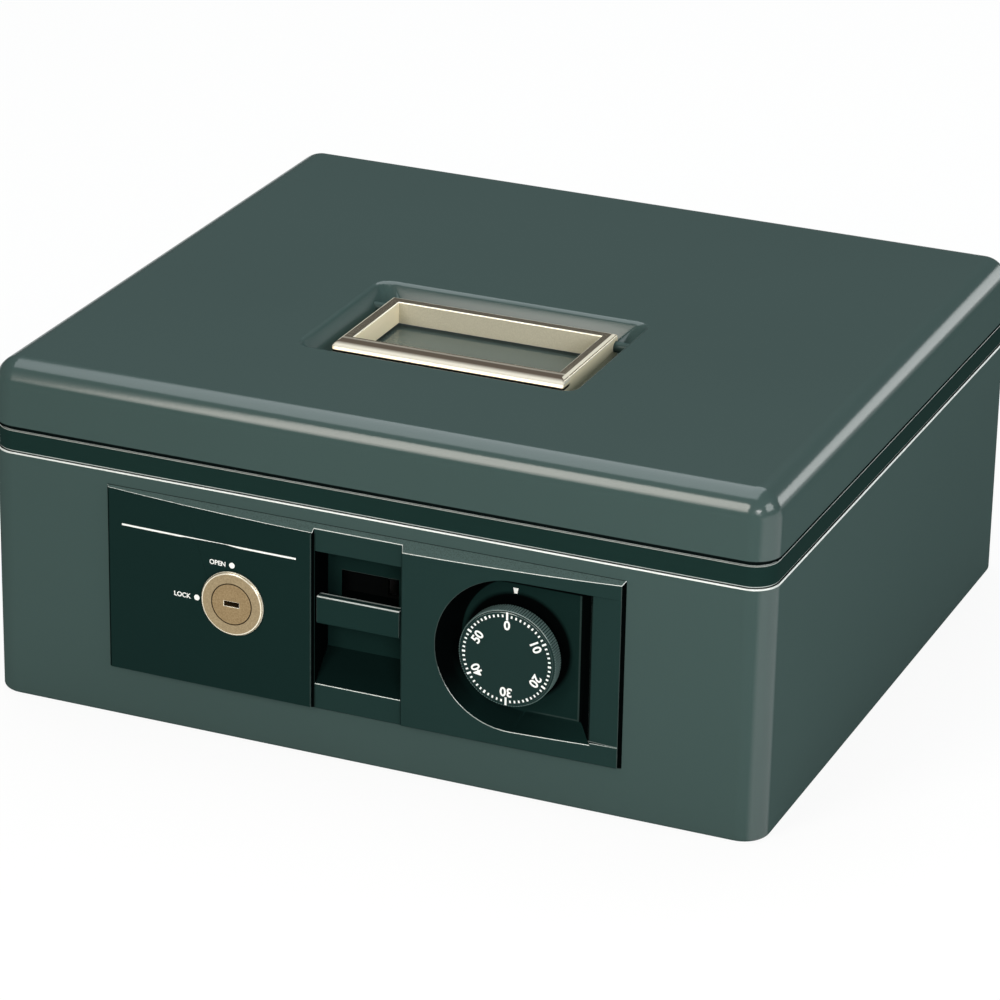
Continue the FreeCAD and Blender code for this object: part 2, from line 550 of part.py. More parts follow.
def make_dial():
    """Number dial on its spindle, the bush that carries it, and the drive wheel at its end."""
    face = out("dial_face_out")
    skirt_back = out("dial_face_out-dial_height")
    knob_plan = [("0", face), ("dial_radius-dial_edge_radius", face),
                 ("dial_radius", f"{face}+dial_edge_radius"), ("dial_radius", skirt_back),
                 ("dial_neck_radius", skirt_back),
                 ("dial_neck_radius", inward("well_floor_in-fit_gap")),
                 ("0", inward("well_floor_in-fit_gap"))]
    knob = turned("dial_grip", "XY_Plane", knob_plan, (DIAL[0], "0", DIAL[1]))
    socket = rod("dial_socket", "y", DIAL, "spindle_radius", out("dial_face_out-dial_height/2"),
                 THROUGH[1])
    keep("dial_knob", cut("dial_knob", knob, socket))

    wheel_back = f"{PLATE_BACK}+fit_gap+3*wheel_thickness+2*wheel_gap"
    keep("dial_spindle", rod("dial_spindle", "y", DIAL, "spindle_radius",
                             out("dial_face_out-dial_height/2"), wheel_back))
    tube_end = f"{PLATE_BACK}+fit_gap+2*wheel_thickness+wheel_gap+wheel_gap/2"
    tube = rod("bush_tube", "y", DIAL, "bush_radius", inward("well_floor_in"), tube_end)
    collar = rod("bush_collar", "y", DIAL, "bush_flange_radius", inward(WELL_BACK),
                 inward(f"{WELL_BACK}+bush_flange_thickness"))
    bush_bore = rod("bush_bore", "y", DIAL, "spindle_radius+running_gap", *THROUGH)
    keep("dial_bush", cut("dial_bush", join("dial_bush", tube, collar), bush_bore))

    gate_z = f"{DIAL[1]}-wheel_radius-overcut", f"{DIAL[1]}-wheel_radius+gate_depth"
    bores = {"wheel_front": "bush_radius+running_gap", "wheel_rear": "bush_radius+running_gap",
             "drive_wheel": "spindle_radius"}
    for count, (node, bore_radius) in enumerate(bores.items()):
        start = f"{PLATE_BACK}+fit_gap+{count}*(wheel_thickness+wheel_gap)"
        disc = rod(f"{node}_disc", "y", DIAL, "wheel_radius", start, f"{start}+wheel_thickness")
        bore = rod(f"{node}_bore", "y", DIAL, bore_radius, *THROUGH)
        gate = box(f"{node}_gate", middle(DIAL[0], "gate_width"), THROUGH, gate_z)
        keep(node, cut(node, disc, bore, gate))
    keep("spindle_nut", rod("spindle_nut", "y", DIAL, "spindle_nut_radius", wheel_back,
                            f"{wheel_back}+spindle_nut_thickness"))


def make_latch():
    """Finger lever on its slide plate, the plate that guides it, and the pawl that it lifts."""
    bar_x = f"{POCKET_X[0]}+lever_side_gap", f"{POCKET_X[1]}-lever_side_gap"
    bar_z = middle("lever_center_z", "lever_height")
    bar_front = out("panel_edge_out")
    bar = prism("lever_bar", "YZ_Plane",
                frame((bar_front, f"{bar_front}+lever_thickness"), bar_z), *bar_x)
    front_edge = number(bar_front)
    round_off(bar, "lever_edge_radius",
              lambda e: max(e.YLength, e.ZLength, abs(e.YMin - front_edge)) < TOUCH)
    stem = box("lever_stem", STEM_X, (f"{bar_front}+lever_thickness/2", LAYER_FRONT), STEM_Z)
    keep("latch_lever", join("latch_lever", bar, stem))

    slide_x = middle("pocket_center_x", "slide_width")
    layer = LAYER_FRONT, LAYER_BACK
    reach_through = PLATE_BACK, PAWL_FRONT
    sheet_part = box("slide_sheet", slide_x, layer, ("slide_bottom", "slide_top"))
    cam_tip = f"{CYLINDER[0]}+cam_length"
    arm_top = f"{CYLINDER[1]}-cam_width/2-fit_gap"
    cam_arm = box("slide_cam_arm", (f"{cam_tip}+fit_gap", slide_x[0]), layer,
                  (f"{arm_top}-arm_height", arm_top))
    fence_top = f"{DIAL[1]}-wheel_radius-fit_gap-lever_travel"
    fence_x = middle(DIAL[0], "fence_width")
    fence_arm = box("slide_fence_arm", (slide_x[1], fence_x[1]), layer,
                    (f"{fence_top}-fence_height-arm_height", f"{fence_top}-fence_height"))
    fence = box("slide_fence", fence_x,
                (LAYER_FRONT, f"{LAYER_FRONT}+3*wheel_thickness+2*wheel_gap"),
                (f"{fence_top}-fence_height-arm_height/2", fence_top))
    lug = box("slide_spring_lug", (slide_x[1], "spring_x+arm_height/2"), layer,
              middle("spring_high_z", "arm_height"))
    hook = rod("slide_spring_hook", "y", ("spring_x", "spring_high_z"), "spring_post_radius",
               LAYER_BACK, f"{LAYER_BACK}+2*spring_radius+fit_gap")
    drive_z = "pawl_pivot_z-pawl_arm_width/4-fit_gap-drive_pin_radius"
    drive_pin = rod("slide_drive_pin", "y", ("pocket_center_x", drive_z), "drive_pin_radius",
                    LAYER_FRONT, PAWL_BACK)
    guides = [("pocket_center_x", "guide_low_z"), ("pocket_center_x+guide_shift", "guide_high_z")]
    slots = [box(f"slide_slot_{count}", middle(x, "2*(guide_radius+fit_gap)"), reach_through,
                 (f"{z}-guide_radius-fit_gap-lever_travel", f"{z}+guide_radius+fit_gap"))
             for count, (x, z) in enumerate(guides)]
    slotted = cut("slide_slotted", sheet_part, *slots)
    keep("slide_plate", join("slide_plate", slotted, cam_arm, fence_arm, fence, lug, hook,
                             drive_pin))

    plate = box("lock_plate_sheet", ("-plate_left", "plate_right"), (PLATE_FRONT, PLATE_BACK),
                ("plate_bottom", "plate_top"))
    through = inward("boss_in-overcut"), inward("boss_in+plate_thickness+overcut")
    plate_cuts = [
        box("plate_stem_slot", (f"{STEM_X[0]}-overcut", f"{STEM_X[1]}+overcut"), through,
            (f"{STEM_Z[0]}-fit_gap", f"{STEM_Z[1]}+lever_travel+slot_headroom")),
        rod("plate_bush_hole", "y", DIAL, "bush_radius+running_gap", *through),
        rod("plate_barrel_hole", "y", CYLINDER, "barrel_radius+fit_gap", *through)]
    plate_cuts += [rod(f"plate_screw_hole_{corner}", "y", place, "screw_shank_radius", *through)
                   for corner, place in BOSSES.items()]
    keep("lock_plate", cut("lock_plate", plate, *plate_cuts))
    keep("lock_plate_screws", group("lock_plate_screws", [
        join(f"plate_screw_{corner}",
             rod(f"plate_screw_head_{corner}", "y", place, "plate_screw_radius", PLATE_BACK,
                 f"{PLATE_BACK}+plate_screw_height"),
             rod(f"plate_screw_shank_{corner}", "y", place, "screw_shank_radius",
                 inward("boss_in-screw_shank_length"), PLATE_BACK))
        for corner, place in BOSSES.items()]))
    keep("slide_guides", group("slide_guides", [
        join(f"guide_{count}",
             rod(f"guide_post_{count}", "y", place, "guide_radius", PLATE_BACK,
                 f"{LAYER_BACK}+fit_gap"),
             rod(f"guide_head_{count}", "y", place, "guide_head_radius",
                 f"{LAYER_BACK}+fit_gap", f"{LAYER_BACK}+fit_gap+guide_head_thickness"))
        for count, place in enumerate(guides)]))

    spring_center = f"{LAYER_BACK}+spring_radius+fit_gap"
    keep("spring_post", rod("spring_post", "y", ("spring_x", "spring_low_z"),
                            "spring_post_radius", PLATE_BACK, f"{spring_center}+spring_radius"))
    keep("latch_spring", make_spring(spring_center))

    strike_edge = "pocket_center_x+strike_width/2"
    arm_x = middle("pawl_pivot_x", "pawl_arm_width")
    tail_z = "pawl_pivot_z-pawl_arm_width/4", "pawl_pivot_z+pawl_arm_width/2"
    pawl = prism("pawl_blade", "XZ_Plane", [
        ("pocket_center_x-drive_pin_radius", tail_z[0]), ("pawl_pivot_x", tail_z[0]),
        (arm_x[1], "pawl_pivot_z"), (arm_x[1], "pawl_nose_top"),
        (f"{strike_edge}+pawl_clear", "pawl_nose_top"),
        (f"{strike_edge}+pawl_clear", "pawl_nose_bottom"), (arm_x[0], "pawl_nose_bottom"),
        (arm_x[0], tail_z[1]), ("pocket_center_x-drive_pin_radius", tail_z[1])],
        PAWL_FRONT, PAWL_BACK)
    pivot = "pawl_pivot_x", "pawl_pivot_z"
    pawl_hole = rod("pawl_hole", "y", pivot, "pawl_pin_radius/2+running_gap", PLATE_BACK,
                    THROUGH[1])
    keep("latch_pawl", cut("latch_pawl", pawl, pawl_hole))
    keep("pawl_pin", join(
        "pawl_pin",
        rod("pawl_pin_foot", "y", pivot, "pawl_pin_radius", PLATE_BACK, f"{PAWL_FRONT}-fit_gap"),
        rod("pawl_pin_shank", "y", pivot, "pawl_pin_radius/2", PLATE_BACK, f"{PAWL_BACK}+fit_gap"),
        rod("pawl_pin_head", "y", pivot, "pawl_pin_radius", f"{PAWL_BACK}+fit_gap",
            f"{PAWL_BACK}+fit_gap+guide_head_thickness")))

    notch = box("strike_notch", (f"{strike_edge}-gate_depth", f"{strike_edge}+overcut"),
                (f"{PAWL_FRONT}-overcut", f"{PAWL_BACK}+overcut"),
                ("pawl_nose_bottom-fit_gap", "pawl_nose_top+fit_gap"))
    strike_x = middle("pocket_center_x", "strike_width")
    ceiling = "box_height-sheet_thickness"
    blade = box("strike_blade", strike_x, (PAWL_FRONT, PAWL_BACK), ("strike_bottom", ceiling))
    foot = box("strike_foot", strike_x, (PAWL_FRONT, f"{PAWL_BACK}+strike_flange"),
               (f"{ceiling}-plate_thickness", ceiling))
    keep("lid_strike", cut("lid_strike", join("lid_strike", blade, foot), notch))


def make_spring(center_y):
    """Close-wound draw spring of the slide, its turns lying on one another."""
    low = "spring_low_z+spring_post_radius+fit_gap"
    high = "spring_high_z-spring_post_radius-fit_gap"
    pitch = f"(({high})-({low}))/{SPRING_TURNS}"
    outline = [("spring_radius-spring_wire", low), ("spring_radius-spring_wire/2", low)]
    for turn in range(SPRING_TURNS):
        outline.append(("spring_radius", f"{low}+{pitch}*{turn + 0.5}"))
        outline.append(("spring_radius-spring_wire/2", f"{low}+{pitch}*{turn + 1}"))
    outline.append(("spring_radius-spring_wire", high))
    return turned("spring_turns", "XZ_Plane", outline, ("spring_x", center_y, "0"))


def make_lock_case():
    """Sheet cover over the lock works, open at the top for the strike, riveted to the wall."""
    x = "-case_left", "case_right"
    z = "case_bottom", "case_top"
    y = WALL_INSIDE, inward("case_in")
    outer = box("case_outer", x, y, z)
    inner = box("case_inner", ("-case_left+case_thickness", "case_right-case_thickness"),
                (f"{y[0]}-overcut", f"{y[1]}-case_thickness"),
                ("case_bottom+case_thickness", "case_top-case_thickness"))
    flange_y = y[0], f"{y[0]}+case_thickness"
    ears = [box("case_ear_left", ("-case_left-case_flange", "-case_left+case_thickness"), flange_y, z),
            box("case_ear_right", ("case_right-case_thickness", "case_right+case_flange"), flange_y, z)]
    slot_y = middle(f"({PAWL_FRONT}+{PAWL_BACK})/2", "case_slot_depth")
    slot_x = "pocket_center_x-strike_width/2-case_slot_margin", "pawl_pivot_x+2*pawl_arm_width"
    slot = box("case_slot", slot_x, slot_y, ("case_top-case_thickness-overcut", "case_top+overcut"))
    holes = [rod(f"case_hole_{count}", "y", place, "screw_shank_radius+running_gap",
                 out("overcut"), inward("sheet_thickness+case_thickness+overcut"))
             for count, place in enumerate(CASE_RIVETS)]
    shell = cut("case_shell", outer, inner)
    keep("lock_case", cut("lock_case", join("lock_case", shell, *ears), slot, *holes))
    head = inward("sheet_thickness+case_thickness")
    keep("lock_case_rivets", group("lock_case_rivets", [
        join(f"case_rivet_{count}",
             rod(f"case_rivet_shank_{count}", "y", place, "screw_shank_radius", out("0"), head),
             rod(f"case_rivet_head_{count}", "y", place, "rivet_head_radius", head,
                 f"{head}+rivet_head_height"))
        for count, place in enumerate(CASE_RIVETS)]))


def make_hinges():
    """Two butt hinges on the rear wall: leaves, rolled knuckles, pins and rivets."""
    rear = "box_depth/2"
    axis = HINGE_Y, HINGE_Z
    knuckle_gap = "fit_gap/2"
    third = "hinge_length/3"
    body_leaves, lid_leaves, pins, rivets = [], [], [], {"body": [], "lid": []}
    for side, sign in SIDES.items():
        center = f"{sign}*hinge_spacing/2"
        low, high = middle(center, "hinge_length")
        spans = {"a": (low, f"{low}+{third}-{knuckle_gap}"),
                 "b": (f"{low}+{third}+{knuckle_gap}", f"{high}-{third}-{knuckle_gap}"),
                 "c": (f"{high}-{third}+{knuckle_gap}", high)}
        sheet_y = rear, f"{rear}+leaf_thickness"
        clear = "knuckle_radius+fit_gap"
        solids = {"body": [box(f"body_leaf_{side}", (low, high), sheet_y,
                               (f"{HINGE_Z}-body_leaf_height", f"{HINGE_Z}-{clear}"))],
                  "lid": [box(f"lid_leaf_{side}", (low, high), sheet_y,
                              (f"{HINGE_Z}+{clear}", f"{HINGE_Z}+lid_leaf_height"))]}
        for letter, (start, end) in spans.items():
            owner = "lid" if letter == "b" else "body"
            web_z = (f"{HINGE_Z}-{clear}-overcut", HINGE_Z) if owner == "body" else (
                HINGE_Z, f"{HINGE_Z}+{clear}+overcut")
            name = f"{owner}_knuckle_{side}_{letter}"
            solids[owner] += [rod(name, "x", axis, "knuckle_radius", start, end),
                              box(f"{name}_web", (start, end), sheet_y, web_z)]
        for owner, leaves in (("body", body_leaves), ("lid", lid_leaves)):
            bore = rod(f"{owner}_knuckle_bore_{side}", "x", axis, "hinge_pin_radius+running_gap",
                       f"{low}-overcut", f"{high}+overcut")
            holes = []
            for spot, sign_x in enumerate("+-"):
                place = f"{center}{sign_x}hinge_length/4", HINGE_RIVETS_Z[owner]
                name = f"{owner}_rivet_{side}_{spot}"
                holes.append(rod(f"{name}_hole", "y", place, "hinge_rivet_radius+running_gap",
                                 *REAR_BORE))
                rivets[owner].append(join(
                    name,
                    rod(f"{name}_shank", "y", place, "hinge_rivet_radius",
                        f"{rear}-sheet_thickness", f"{rear}+leaf_thickness"),
                    rod(f"{name}_head", "y", place, "rivet_head_radius", f"{rear}+leaf_thickness",
                        f"{rear}+leaf_thickness+rivet_head_height")))
            leaves.append(cut(f"{owner}_leaf_{side}", join(f"{owner}_leaf_{side}", *solids[owner]),
                              bore, *holes))
        pins.append(rod(f"hinge_pin_{side}", "x", axis, "hinge_pin_radius", low, high))
    keep("hinge_body_leaves", group("hinge_body_leaves", body_leaves))
    keep("hinge_lid_leaves", group("hinge_lid_leaves", lid_leaves))
    keep("hinge_pins", group("hinge_pins", pins))
    keep("hinge_body_rivets", group("hinge_body_rivets", rivets["body"]))
    keep("hinge_lid_rivets", group("hinge_lid_rivets", rivets["lid"]))


HANDLE_FRONT = "handle_center_y-handle_length/2"
HANDLE_BACK = "handle_center_y+handle_length/2"
HANDLE_TOP = "box_height-handle_drop"
PIVOT = f"{HANDLE_BACK}-handle_bar/2", f"{HANDLE_TOP}-handle_height/2"


def make_dish(name, grown):
    """The lid's recess as a solid with sloping sides, grown outwards by a thickness."""
    floor = f"box_height-recess_depth-{grown}"
    width = f"recess_width-2*recess_run+2*{grown}"
    length = f"recess_length-2*recess_run+2*{grown}"
    dish = prism(name, "XY_Plane",
                 frame(middle("recess_center_x", width), middle("recess_center_y", length)),
                 floor, "box_height", taper="atan(recess_run/recess_depth)")
    inclined = lambda e: min(e.XLength, e.ZLength) > TOUCH
    return round_off(dish, f"recess_corner+{grown}", inclined)


def make_lid():
    """Pressed steel lid with rolled top edges and the handle's recess sunk into it."""
    outer = block("lid_outer", "0", ("lid_bottom", "box_height"), "corner_radius")
    round_off(outer, "lid_roll", level_at("box_height"))
    inner = block("lid_inner", "sheet_thickness", ("lid_bottom-overcut", "box_height-sheet_thickness"),
                  "corner_radius-sheet_thickness")
    round_off(inner, "lid_roll-sheet_thickness", level_at("box_height-sheet_thickness"))
    tub = make_dish("recess_tub", "sheet_thickness")
    void = make_dish("recess_void", "0")
    holes = [rod(f"lid_hinge_hole_{count}", "y", (x, HINGE_RIVETS_Z["lid"]),
                 "hinge_rivet_radius+running_gap", *REAR_BORE)
             for count, x in enumerate(HINGE_RIVETS_X)]
    holes.append(rod("lid_pin_hole", "x", PIVOT, "handle_pin_radius+running_gap",
                     "recess_center_x-recess_width/2", "recess_center_x+recess_width/2"))
    shell = cut("lid_sheet", outer, inner)
    pressed = cut("lid_pressed", join("lid_tub", shell, tub), void, *holes)
    doc.recompute()
    rounded = doc.addObject("Part::Fillet", "lid_mouth")
    rounded.Base = pressed
    mouth = level_at("box_height")
    reach_x, reach_y = number("recess_width/2+overcut"), number("recess_length/2+overcut")
    center_x, center_y = number("recess_center_x"), number("recess_center_y")
    radius = number("recess_mouth_radius")
    rounded.Edges = [
        (index, radius, radius) for index, edge in enumerate(pressed.Shape.Edges, 1)
        if mouth(edge.BoundBox) and abs(edge.CenterOfMass.x - center_x) < reach_x
        and abs(edge.CenterOfMass.y - center_y) < reach_y]
    keep("lid_shell", rounded)


def make_handle():
    """Cast ring handle lying in the recess, swung up on two pins at its back bar. Its front bar is
    the grip: wider than the others, with a slanted front."""
    top = HANDLE_TOP
    bottom = f"{HANDLE_TOP}-handle_height"
    ring = prism("handle_block", "XY_Plane", frame(
        middle("recess_center_x", "handle_width"), (HANDLE_FRONT, HANDLE_BACK)), bottom, top)
    round_off(ring, "handle_bevel", level_at(top), "Chamfer")
    hole = prism("handle_hole", "XY_Plane", frame(
        middle("recess_center_x", "handle_width-2*handle_bar"),
        (f"{HANDLE_FRONT}+handle_front_bar", f"{HANDLE_BACK}-handle_bar")),
        f"{bottom}-overcut", f"{top}+overcut")
    above, ahead = f"{top}+overcut", f"{HANDLE_FRONT}-overcut"
    slant = prism("handle_slant", "YZ_Plane", [
        (HANDLE_FRONT, f"{top}-handle_slant_drop"), (f"{HANDLE_FRONT}+handle_slant_run", top),
        (f"{HANDLE_FRONT}+handle_slant_run", above), (ahead, above), (ahead, f"{top}-handle_slant_drop")],
        *middle("recess_center_x", "handle_width+2*overcut"))
    pins, sockets = [], []
    for side, sign in SIDES.items():
        ends = [f"recess_center_x+{sign}*(handle_width/2{step})"
                for step in ("-handle_pin_seat", "+handle_pin_reach")]
        low, high = ends if sign == "1" else ends[::-1]
        pins.append(rod(f"handle_pin_{side}", "x", PIVOT, "handle_pin_radius", low, high))
        sockets.append(rod(f"handle_socket_{side}", "x", PIVOT, "handle_pin_radius", low, high))
    keep("handle", cut("handle", ring, hole, slant, *sockets))
    keep("handle_pins", group("handle_pins", pins))


def make_scoop(name, x, bottom, top, y):
    """A block with a rounded underside, as a coin cup has."""
    low, high = x
    return prism(name, "XZ_Plane", [
        (low, top), (low, f"{bottom}+cup_rise"), (f"({low}+{high})/2", bottom, "arc"),
        (high, f"{bottom}+cup_rise"), (high, top)], *y)


def make_coin_tray():
    """Lift-out moulded tray hung from the rim: a row of scooped coin cups and the note wells."""
    half = "tray_width/2"
    floor = "rim_top-tray_depth"
    brim = "rim_top+tray_flange_thickness"
    cups_end = "tray_front+tray_wall+cup_length"
    shells = [box(f"tray_flange_{side}", x, ("tray_front", "tray_back"), ("rim_top", brim))
              for side, x in (("left", (f"-{half}-tray_flange_width", f"-{half}")),
                              ("right", (half, f"{half}+tray_flange_width")))]
    shells.append(box("note_shell", (f"-{half}", half), (cups_end, "tray_back"), (floor, brim)))
    hollows = []
    cup_pitch = f"(tray_width-tray_wall)/{CUPS}"
    for count in range(CUPS):
        low = f"-{half}+tray_wall+{count}*{cup_pitch}"
        high = f"{low}+{cup_pitch}-tray_wall"
        shells.append(make_scoop(f"cup_shell_{count}", (f"{low}-tray_wall", f"{high}+tray_wall"),
                                 floor, brim, ("tray_front", f"{cups_end}+tray_wall")))
        hollows.append(make_scoop(f"coin_cup_{count}", (low, high), f"{floor}+tray_wall",
                                  f"{brim}+overcut", ("tray_front+tray_wall", cups_end)))
    well_pitch = f"(tray_width-tray_wall)/{NOTE_WELLS}"
    for count in range(NOTE_WELLS):
        low = f"-{half}+tray_wall+{count}*{well_pitch}"
        hollows.append(box(f"note_well_{count}", (low, f"{low}+{well_pitch}-tray_wall"),
                           (f"{cups_end}+tray_wall", "tray_back-tray_wall"),
                           (f"{floor}+tray_wall", f"{brim}+overcut")))
    keep("coin_tray", cut("coin_tray", join("coin_tray", *shells), *hollows))


make_body_shell()
make_rim_frame()
make_lock_panel()
make_key_cylinder()
make_dial()
make_latch()
make_lock_case()
make_hinges()
make_lid()
make_handle()
make_coin_tray()

doc.recompute()
failed = [o.Label for o in doc.Objects if {"Invalid", "Error"} & set(o.State)]
failed += [o.Label for o in subparts if o.Shape.isNull() or not o.Shape.isValid()]
if failed:
    raise SystemExit("failed: " + ", ".join(failed))
os.makedirs("parts", exist_ok=True)
for subpart in subparts:
    subpart.Shape.exportStep(f"parts/{subpart.Label}.step")
print(len(subparts), "sub-parts written")
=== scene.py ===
"""Looks of a cash box: painted steel box and lid, lock panel, key cylinder, number dial, ring handle."""

import json
import math

import bmesh
import bpy
from mathutils import Matrix, Vector
from mathutils.bvhtree import BVHTree

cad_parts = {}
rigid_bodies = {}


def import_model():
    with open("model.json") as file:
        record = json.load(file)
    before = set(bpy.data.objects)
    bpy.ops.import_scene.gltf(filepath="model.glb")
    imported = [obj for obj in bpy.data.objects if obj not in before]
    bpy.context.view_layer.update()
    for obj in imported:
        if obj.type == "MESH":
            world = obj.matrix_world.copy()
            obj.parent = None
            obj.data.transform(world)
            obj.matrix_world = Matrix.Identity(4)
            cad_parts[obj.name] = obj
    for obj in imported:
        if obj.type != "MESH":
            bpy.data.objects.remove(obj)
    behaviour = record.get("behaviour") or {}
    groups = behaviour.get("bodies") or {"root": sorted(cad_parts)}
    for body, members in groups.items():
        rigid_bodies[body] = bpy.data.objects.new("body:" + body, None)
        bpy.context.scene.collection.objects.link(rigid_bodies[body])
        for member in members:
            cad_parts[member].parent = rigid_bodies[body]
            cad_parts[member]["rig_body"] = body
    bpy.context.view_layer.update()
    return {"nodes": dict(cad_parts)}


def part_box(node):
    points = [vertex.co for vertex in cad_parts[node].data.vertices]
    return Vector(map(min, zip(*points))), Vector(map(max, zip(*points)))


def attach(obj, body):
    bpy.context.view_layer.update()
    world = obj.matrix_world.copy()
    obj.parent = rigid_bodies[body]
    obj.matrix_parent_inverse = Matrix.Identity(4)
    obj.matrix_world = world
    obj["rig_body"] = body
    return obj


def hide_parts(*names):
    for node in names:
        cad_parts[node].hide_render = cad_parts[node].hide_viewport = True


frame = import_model()


# Body: a box drawn from sheet steel with rounded corners and a rolled upper edge.
# It is sprayed and baked in a satin grey-green enamel, glossier on the rolls than on the flats.
# Everything else is fixed to this shell.
MM = 0.001
PAINT = ((0.046, 0.077, 0.073, 1), (0.042, 0.071, 0.067, 1))
PAINT_ROUGHNESS, PAINT_GRAIN, PAINT_RELIEF = (0.36, 0.44), 1.1 * MM, 0.010 * MM
PAINT_GLOSS, ROLL_GLOSS = 0.03, 0.58
COAT_ROUGHNESS, COAT_IOR = 0.16, 1.8
ROLL_HIGHLIGHT, JOINT_SHADE = (0.66, 0.70, 0.68, 1), (0.002, 0.004, 0.004, 1)


def mm(*lengths):
    """Lengths or places that are given in millimetres."""
    return tuple(length * MM for length in lengths)


def add_grain_group():
    """Shared surface grain on object coordinates: a fine height and a slow drift of tone."""
    group = bpy.data.node_groups.new("surface_grain", "ShaderNodeTree")
    sockets = group.interface
    sockets.new_socket("Cell Size", in_out="INPUT", socket_type="NodeSocketFloat").default_value = MM
    sockets.new_socket("Stretch", in_out="INPUT", socket_type="NodeSocketVector").default_value = (1, 1, 1)
    sockets.new_socket("Height", in_out="OUTPUT", socket_type="NodeSocketFloat")
    sockets.new_socket("Drift", in_out="OUTPUT", socket_type="NodeSocketFloat")
    nodes, links = group.nodes, group.links
    given = nodes.new("NodeGroupInput")
    result = nodes.new("NodeGroupOutput")
    place = nodes.new("ShaderNodeTexCoord")
    stretched = nodes.new("ShaderNodeVectorMath")
    stretched.operation = "MULTIPLY"
    links.new(place.outputs["Object"], stretched.inputs[0])
    links.new(given.outputs["Stretch"], stretched.inputs[1])
    frequency = nodes.new("ShaderNodeMath")
    frequency.operation = "DIVIDE"
    frequency.inputs[0].default_value = 1
    links.new(given.outputs["Cell Size"], frequency.inputs[1])
    fine = nodes.new("ShaderNodeTexNoise")
    fine.inputs["Detail"].default_value = 2
    links.new(stretched.outputs["Vector"], fine.inputs["Vector"])
    links.new(frequency.outputs["Value"], fine.inputs["Scale"])
    slow = nodes.new("ShaderNodeTexNoise")
    slow.inputs["Scale"].default_value = 9
    slow.inputs["Detail"].default_value = 3
    links.new(place.outputs["Object"], slow.inputs["Vector"])
    links.new(fine.outputs["Fac"], result.inputs["Height"])
    links.new(slow.outputs["Fac"], result.inputs["Drift"])
    return group


GRAIN = add_grain_group()


def add_facing_group():
    """Masks from a piece's own normals: faces that look up, aside or away from the front, the upright
    corner at the front right, and the edges that look up."""
    group = bpy.data.node_groups.new("facing_masks", "ShaderNodeTree")
    sockets = group.interface
    sockets.new_socket("Level", in_out="INPUT", socket_type="NodeSocketFloat")
    sockets.new_socket("Steep", in_out="INPUT", socket_type="NodeSocketFloat")
    for mask in ("Upward", "Sideways", "Turned", "Corner", "Top Edge"):
        sockets.new_socket(mask, in_out="OUTPUT", socket_type="NodeSocketFloat")
    nodes, links = group.nodes, group.links
    given = nodes.new("NodeGroupInput")
    result = nodes.new("NodeGroupOutput")
    split = nodes.new("ShaderNodeSeparateXYZ")
    links.new(nodes.new("ShaderNodeTexCoord").outputs["Normal"], split.inputs[0])

    def worked(operation, first, second=None):
        node = nodes.new("ShaderNodeMath")
        node.operation = operation
        links.new(first, node.inputs[0])
        if second is not None:
            links.new(second, node.inputs[1])
        return node.outputs["Value"]

    def ramp(value, low, high):
        node = nodes.new("ShaderNodeMapRange")
        links.new(value, node.inputs["Value"])
        for socket, limit in (("From Min", low), ("From Max", high)):
            if isinstance(limit, float):
                node.inputs[socket].default_value = limit
            else:
                links.new(limit, node.inputs[socket])
        return node.outputs["Result"]

    off_axis, aside, off_front = (0.998, 0.97), (0.35, 0.6), (0.93, 0.86)
    to_right, to_front = (0.45, 0.6), (-0.1, -0.25)
    sideways = worked("ABSOLUTE", split.outputs["X"])
    aligned = sideways
    for axis in "YZ":
        aligned = worked("MAXIMUM", aligned, worked("ABSOLUTE", split.outputs[axis]))
    upward = ramp(split.outputs["Z"], given.outputs["Steep"], given.outputs["Level"])
    turned = ramp(worked("ABSOLUTE", split.outputs["Y"]), *off_front)
    corner = worked("MULTIPLY", ramp(split.outputs["X"], *to_right), ramp(split.outputs["Y"], *to_front))
    links.new(upward, result.inputs["Upward"])
    links.new(ramp(sideways, *aside), result.inputs["Sideways"])
    links.new(turned, result.inputs["Turned"])
    links.new(corner, result.inputs["Corner"])
    links.new(worked("MULTIPLY", ramp(aligned, *off_axis), upward), result.inputs["Top Edge"])
    return group


FACING = add_facing_group()


